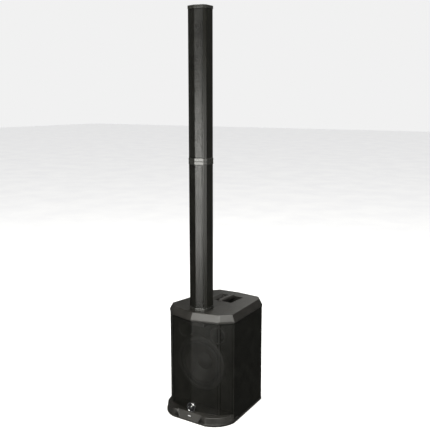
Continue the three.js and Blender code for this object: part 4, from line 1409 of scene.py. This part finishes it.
class BuildControls(bpy.types.Operator):
    """Makes the four knobs with their pointers, the mode button and the panel's diodes"""

    bl_idname = "column_pa.build_controls"
    bl_label = "Knobs and button"

    def execute(self, context):
        for name in ("channel_1", "channel_2", "bass", "master"):
            self.knob(name)
        low, high = box_mm("mode_button")
        centre, radius = middle_mm("mode_button")[[0, 2]], (high - low)[0] / 2
        profile = eased(
            [(0, low[1], 0), (radius, low[1], 0), (radius, high[1], 0.9), (0, high[1] - 0.5, 0)],
            5,
            closed=False,
        )
        button = turned_piece("mode_button_cap", profile, centre, 0, 40)
        finish_piece(button, "mode_button", "knob_plastic", material(satin_abs), "mode_button")
        shades = (
            ("#1d6b35", "signal_green"),
            ("#8a1a14", "limit_red"),
            ("#7c5a12", "power_amber"),
        )
        for step, (shade, name) in enumerate(shades):
            centre = np.array([-20.0 - 16 * step, middle_mm("mode_button")[2]])
            lens = eased(
                [(0, 1.7, 0), (1.1, 1.5, 0.5), (1.5, 0.2, 0.3), (1.5, -0.5, 0), (0, -0.5, 0)],
                4,
                closed=False,
            )
            diode = turned_piece(f"diode_{name}", lens, centre, PANEL_FACE, 20)
            recipe = tinted_diode(f"tinted_epoxy_{name}", shade)
            finish_piece(diode, "subwoofer", "light_lens", recipe)
            bezel = eased([(1.7, 0.7, 0.2), (2.8, 0.5, 0.3), (2.8, -0.4, 0), (1.7, -0.4, 0)], 3)
            collar = turned_piece(f"diode_bezel_{name}", bezel, centre, PANEL_FACE, 24)
            finish_piece(collar, "subwoofer", "socket_plastic", material(filled_nylon))
        return {"FINISHED"}

    @staticmethod
    def knob(name):
        """A knob whose grip is fluted: its radius is scaled by 1 - 0.05 cos^2 (9 a) where
        the finger grips it, and its pointer is a raised white bar on the crown."""
        node = f"{name}_knob"
        low, high = box_mm(node)
        centre, radius = middle_mm(node)[[0, 2]], (high - low)[0] / 2
        top = high[1] - PANEL_FACE

        def flutes(angle, across, along):
            grip = (across > radius * 0.6) & (along > 4.5)
            return np.where(grip, 1 - 0.05 * np.cos(9 * angle) ** 2, 1.0)

        profile = eased(
            [
                (0, low[1] - PANEL_FACE, 0),
                (2.9, low[1] - PANEL_FACE, 0),
                (2.9, 1, 0),
                (radius, 1, 0.3),
                (radius, 3.2, 0.8),
                (radius - 1.2, 5, 0.6),
                (radius - 1.6, top - 0.2, 1.4),
                (0, top - 0.3, 0),
            ],
            5,
            closed=False,
        )
        cap = turned_piece(f"{name}_knob_cap", profile, centre, PANEL_FACE, 108, flutes, 50)
        body = f"{name}_control"
        finish_piece(cap, body, "knob_plastic", material(soft_touch_plastic), node)
        outline = np.array([(-0.6, 1.5), (0.6, 1.5), (0.6, radius - 2.2), (-0.6, radius - 2.2)])
        points, faces = slab(outline + centre, high[1] - 0.5, high[1] - 0.05, (0, 2, 1))
        pointer = close_up(make_mesh(f"{name}_pointer", points, [faces]), 30)
        finish_piece(pointer, body, "knob_plastic", material(printed_ink))


SOCKET_DEPTH = 15  # from a socket's face to its floor


class BuildSockets(bpy.types.Operator):
    """Makes the input and link sockets, the mains inlet and the mains switch"""

    bl_idname = "column_pa.build_sockets"
    bl_label = "Sockets and switch"

    def execute(self, context):
        for name in ("channel_1_input", "channel_2_input", "link_output"):
            self.socket(name)
        inlet = softened("mains_inlet_body", "mains_inlet", reach=0.6, segments=2)
        finish_piece(inlet, "subwoofer", "socket_plastic", material(filled_nylon), "mains_inlet")
        face = box_mm("mains_inlet")[1][1]
        centre = middle_mm("mains_inlet")
        floor = face - SOCKET_DEPTH
        half, tall = 1.15, 2.15
        corners = [(-half, -tall), (half, -tall), (half, tall), (-half, tall)]
        section = eased([(*corner, 0.4) for corner in corners], 3)
        blades = []
        for x, z in ((-7, -2), (0, 2), (7, -2)):
            spots = section + (centre[0] + x, centre[2] + z)
            blades.append(slab(spots, floor - 5, floor + 8.3, (0, 2, 1)))
        points, faces = joined(blades)
        pins = close_up(make_mesh("mains_inlet_blades", points, faces), 40)
        finish_piece(pins, "subwoofer", "contact_brass", material(nickel_plate))
        places = [(centre[0] - 20.6, centre[2]), (centre[0] + 20.6, centre[2])]
        heads = screws("mains_inlet_screws", places, face, 2.6, 1)
        finish_piece(heads, "subwoofer", "basket_steel", material(black_oxide))
        surround = softened("mains_switch_bezel", "mains_switch_frame", reach=0.6, segments=2)
        finish_piece(
            surround, "subwoofer", "socket_plastic", material(filled_nylon), "mains_switch_frame"
        )
        rocker = softened("mains_switch_key", "mains_switch_rocker", reach=0.8, segments=3)
        finish_piece(
            rocker, "mains_rocker", "socket_plastic", material(filled_nylon), "mains_switch_rocker"
        )
        self.rocker_marks()
        return {"FINISHED"}

    @staticmethod
    def rocker_marks():
        """The usual stroke and ring of a mains switch, printed on the rocker's two halves. Each
        half is a plane, so a mark's depth follows that plane at its height."""
        points = node_points("mains_switch_rocker")
        centre = middle_mm("mains_switch_rocker")[[0, 2]]
        upper = points[np.argmax(points[:, 2])]
        lower = points[np.argmin(points[:, 2])]
        outer = points[points[:, 1] > points[:, 1].max() - 9]
        middle_y = outer[np.argmin(abs(outer[:, 2] - centre[1]))][1]
        marks = []
        stroke = np.array([(-0.4, -2.2), (0.4, -2.2), (0.4, 2.2), (-0.4, 2.2)])
        for tip, side in ((upper, 1), (lower, -1)):
            spot = np.array([centre[0], centre[1] + side * 5.6])
            slope = (tip[1] - middle_y) / (tip[2] - centre[1])
            if side > 0:
                mark, faces = slab(stroke + spot, 0, 0.15, (0, 2, 1))
            else:
                ring, inner = circle(2.0, spot, 24), circle(1.3, spot, 24)
                mark, faces = ring_plate(ring, inner, 0, 0.15)
            mark[:, 1] += middle_y + slope * (mark[:, 2] - centre[1]) - 0.02
            marks.append((mark, faces))
        points, faces = joined(marks)
        ink = close_up(make_mesh("mains_switch_print", points, faces), 30)
        finish_piece(ink, "mains_rocker", "socket_plastic", material(printed_ink))

    @staticmethod
    def socket(name):
        """A round socket with a rolled lip, three contacts and two screws. An input also takes
        a plain jack through its middle."""
        node = f"{name}_socket"
        low, high = box_mm(node)
        centre, radius = middle_mm(node)[[0, 2]], (high - low)[0] / 2
        lip, root = high[1] - PANEL_FACE, low[1] - PANEL_FACE
        floor = lip - SOCKET_DEPTH
        jack = [(3.2, floor, 0.3), (3.2, floor - 6, 0)] if "input" in name else [(3.2, floor, 0)]
        deep = jack[-1][1]
        profile = eased(
            [
                (0, deep, 0),
                *reversed(jack),
                (8.8, floor, 0.4),
                (8.8, lip - 0.8, 0.5),
                (9.8, lip, 0.4),
                (radius - 0.6, lip, 0.6),
                (radius, 0.4, 0.2),
                (11.7, 0.3, 0),
                (11.7, root, 0),
                (0, root, 0),
            ],
            4,
            closed=False,
        )
        shell = turned_piece(f"{name}_shell", profile, centre, PANEL_FACE, 64)
        finish_piece(shell, "subwoofer", "socket_plastic", material(filled_nylon), node)
        around = np.radians([90, 210, 330])
        spots = centre + 5.6 * np.stack([np.cos(around), np.sin(around)], -1)
        reach = 0.4 if "input" in name else 9.0
        foot, tip, thick = floor - 1, floor + reach, 1.25
        pin = eased(
            [(0, foot, 0), (thick, foot, 0), (thick, tip, 0.5), (0, tip + 0.4, 0)],
            4,
            closed=False,
        )
        points, faces = joined([turned(pin, spot, PANEL_FACE, 16) for spot in spots])
        contacts = close_up(make_mesh(f"{name}_contacts", points, faces), 50)
        finish_piece(contacts, "subwoofer", "contact_brass", material(nickel_plate))
        places = [(centre[0] + 11.9 * side, centre[1]) for side in (-1, 1)]
        heads = screws(f"{name}_screws", places, high[1] - 0.3, 1.6, 1)
        finish_piece(heads, "subwoofer", "basket_steel", material(black_oxide))


# ---------------------------------------------------------------- stage


class BuildStage(bpy.types.Operator):
    """Lays the pale floor, hangs the softboxes and sets the camera"""

    bl_idname = "column_pa.build_stage"
    bl_label = "Stage"

    def execute(self, context):
        half = 30000
        corners = [(-half, -half, 0), (half, -half, 0), (half, half, 0), (-half, half, 0)]
        floor = make_mesh("floor", corners, [[[0, 1, 2, 3]]])
        floor.data.materials.append(material(studio_floor))
        floor.visible_glossy = False
        self.hang_lights()
        self.light_room()
        self.set_camera()
        context.scene.view_settings.view_transform = "Standard"
        return {"FINISHED"}

    @staticmethod
    def hang_lights():
        """Each softbox: bearing from the front towards +X, height of its middle, distance,
        width and height of its face, its power, and the height on the object's axis that it
        faces."""
        light = bpy.context.scene.column_pa_light
        boxes = (
            ("key_softbox", 22, 5.0, 5.0, 7.0, 2.2, light.key_power, 0.6),
            ("front_softbox", -5, 1.16, 3.2, 0.9, 0.7, light.front_power, 1.16),
            ("low_softbox", -6, 0.36, 3.2, 0.8, 0.7, light.low_power, 0.36),
            ("top_softbox", 60, 4.2, 0.8, 2.4, 2.4, light.top_power, 0.6),
            ("corner_softbox", 52, 0.36, 3.2, 0.7, 0.7, light.corner_power, 0.36),
            ("side_softbox", 89, 0.9, 3.2, 0.5, 1.6, light.side_power, 0.9),
            ("rear_softbox", 200, 0.6, 3.2, 1.2, 0.9, light.rear_power, 0.6),
            ("back_softbox", 195, 2.8, 3.6, 2.2, 1.4, light.back_power, 0.6),
        )
        for name, bearing, height, distance, width, tall, power, aim in boxes:
            lamp = bpy.data.lights.new(name, "AREA")
            lamp.shape = "RECTANGLE"
            lamp.size, lamp.size_y = width, tall
            lamp.energy = power
            lamp.color = light.lamp_colour
            hung = bpy.data.objects.new(name, lamp)
            turn = math.radians(bearing)
            hung.location = (distance * math.sin(turn), -distance * math.cos(turn), height)
            tilt = math.atan2(distance, height - aim)
            hung.rotation_euler = (tilt, 0, turn)
            hung.visible_camera = False
            bpy.context.scene.collection.objects.link(hung)

    @staticmethod
    def light_room():
        """Even light all round. Gloss mirrors a darker room, as between black flags, and past
        the floor's end the camera sees a pale grey that matches the floor's far part."""
        light = bpy.context.scene.column_pa_light
        world = bpy.data.worlds.new("studio_room")
        bpy.context.scene.world = world
        world.use_nodes = True
        tree = world.node_tree
        tree.nodes.clear()
        colour = (*light.room_colour, 1.0)
        seen = add(tree, "ShaderNodeBackground", {"Color": (1, 1, 1, 1), "Strength": 0.88})
        lit = add(tree, "ShaderNodeBackground", {"Color": colour, "Strength": light.room_light})
        dark = add(tree, "ShaderNodeBackground", {"Color": colour, "Strength": light.mirrored})
        path = add(tree, "ShaderNodeLightPath").outputs
        soft = {0: path["Is Glossy Ray"], 1: lit.outputs[0], 2: dark.outputs[0]}
        room = add(tree, "ShaderNodeMixShader", soft).outputs[0]
        view = {0: path["Is Camera Ray"], 1: room, 2: seen.outputs[0]}
        both = add(tree, "ShaderNodeMixShader", view)
        add(tree, "ShaderNodeOutputWorld", {"Surface": both.outputs[0]})

    @staticmethod
    def set_camera():
        """A camera ten degrees above the object and thirty-five to its right."""
        lens = bpy.data.cameras.new("camera")
        lens.sensor_width, lens.lens = 36, 58.235
        lens.shift_x, lens.shift_y = 0.01926, 0.01906
        lens.clip_end = 100
        camera = bpy.data.objects.new("camera", lens)
        camera.location = (1.938, -2.8245, 1.5818)
        aim = Euler((math.radians(90 - 10.192), 0, math.radians(35.227))).to_matrix()
        level = Matrix.Rotation(math.radians(-0.177), 3, "Z")
        camera.rotation_euler = (aim @ level).to_euler()
        bpy.context.scene.collection.objects.link(camera)
        bpy.context.scene.camera = camera


# ---------------------------------------------------------------- add-on


OPERATORS = (
    BuildStage,
    BuildCabinet,
    BuildFeet,
    BuildGrilles,
    BuildWoofer,
    BuildPorts,
    BuildFrontTrim,
    BuildColumn,
    BuildArray,
    BuildRearPanel,
    BuildControls,
    BuildSockets,
)


class ColumnPaPanel(bpy.types.Panel):
    """Lists the pieces, the sizes and the lamps in the sidebar"""

    bl_idname = "VIEW3D_PT_column_pa"
    bl_label = "Column PA system"
    bl_space_type = "VIEW_3D"
    bl_region_type = "UI"
    bl_category = "Column PA"

    def draw(self, context):
        for group in (context.scene.column_pa_looks, context.scene.column_pa_light):
            for name in group.__annotations__:
                self.layout.prop(group, name)
        for operator in OPERATORS:
            self.layout.operator(operator.bl_idname)


CLASSES = (ColumnPaLooks, ColumnPaLight, *OPERATORS, ColumnPaPanel)


def register():
    for each in CLASSES:
        bpy.utils.register_class(each)
    bpy.types.Scene.column_pa_looks = bpy.props.PointerProperty(type=ColumnPaLooks)
    bpy.types.Scene.column_pa_light = bpy.props.PointerProperty(type=ColumnPaLight)


def unregister():
    del bpy.types.Scene.column_pa_looks
    del bpy.types.Scene.column_pa_light
    for each in reversed(CLASSES):
        bpy.utils.unregister_class(each)


def main():
    register()
    for operator in OPERATORS:
        getattr(bpy.ops.column_pa, operator.bl_idname.split(".")[1])()


if __name__ == "__main__":
    main()
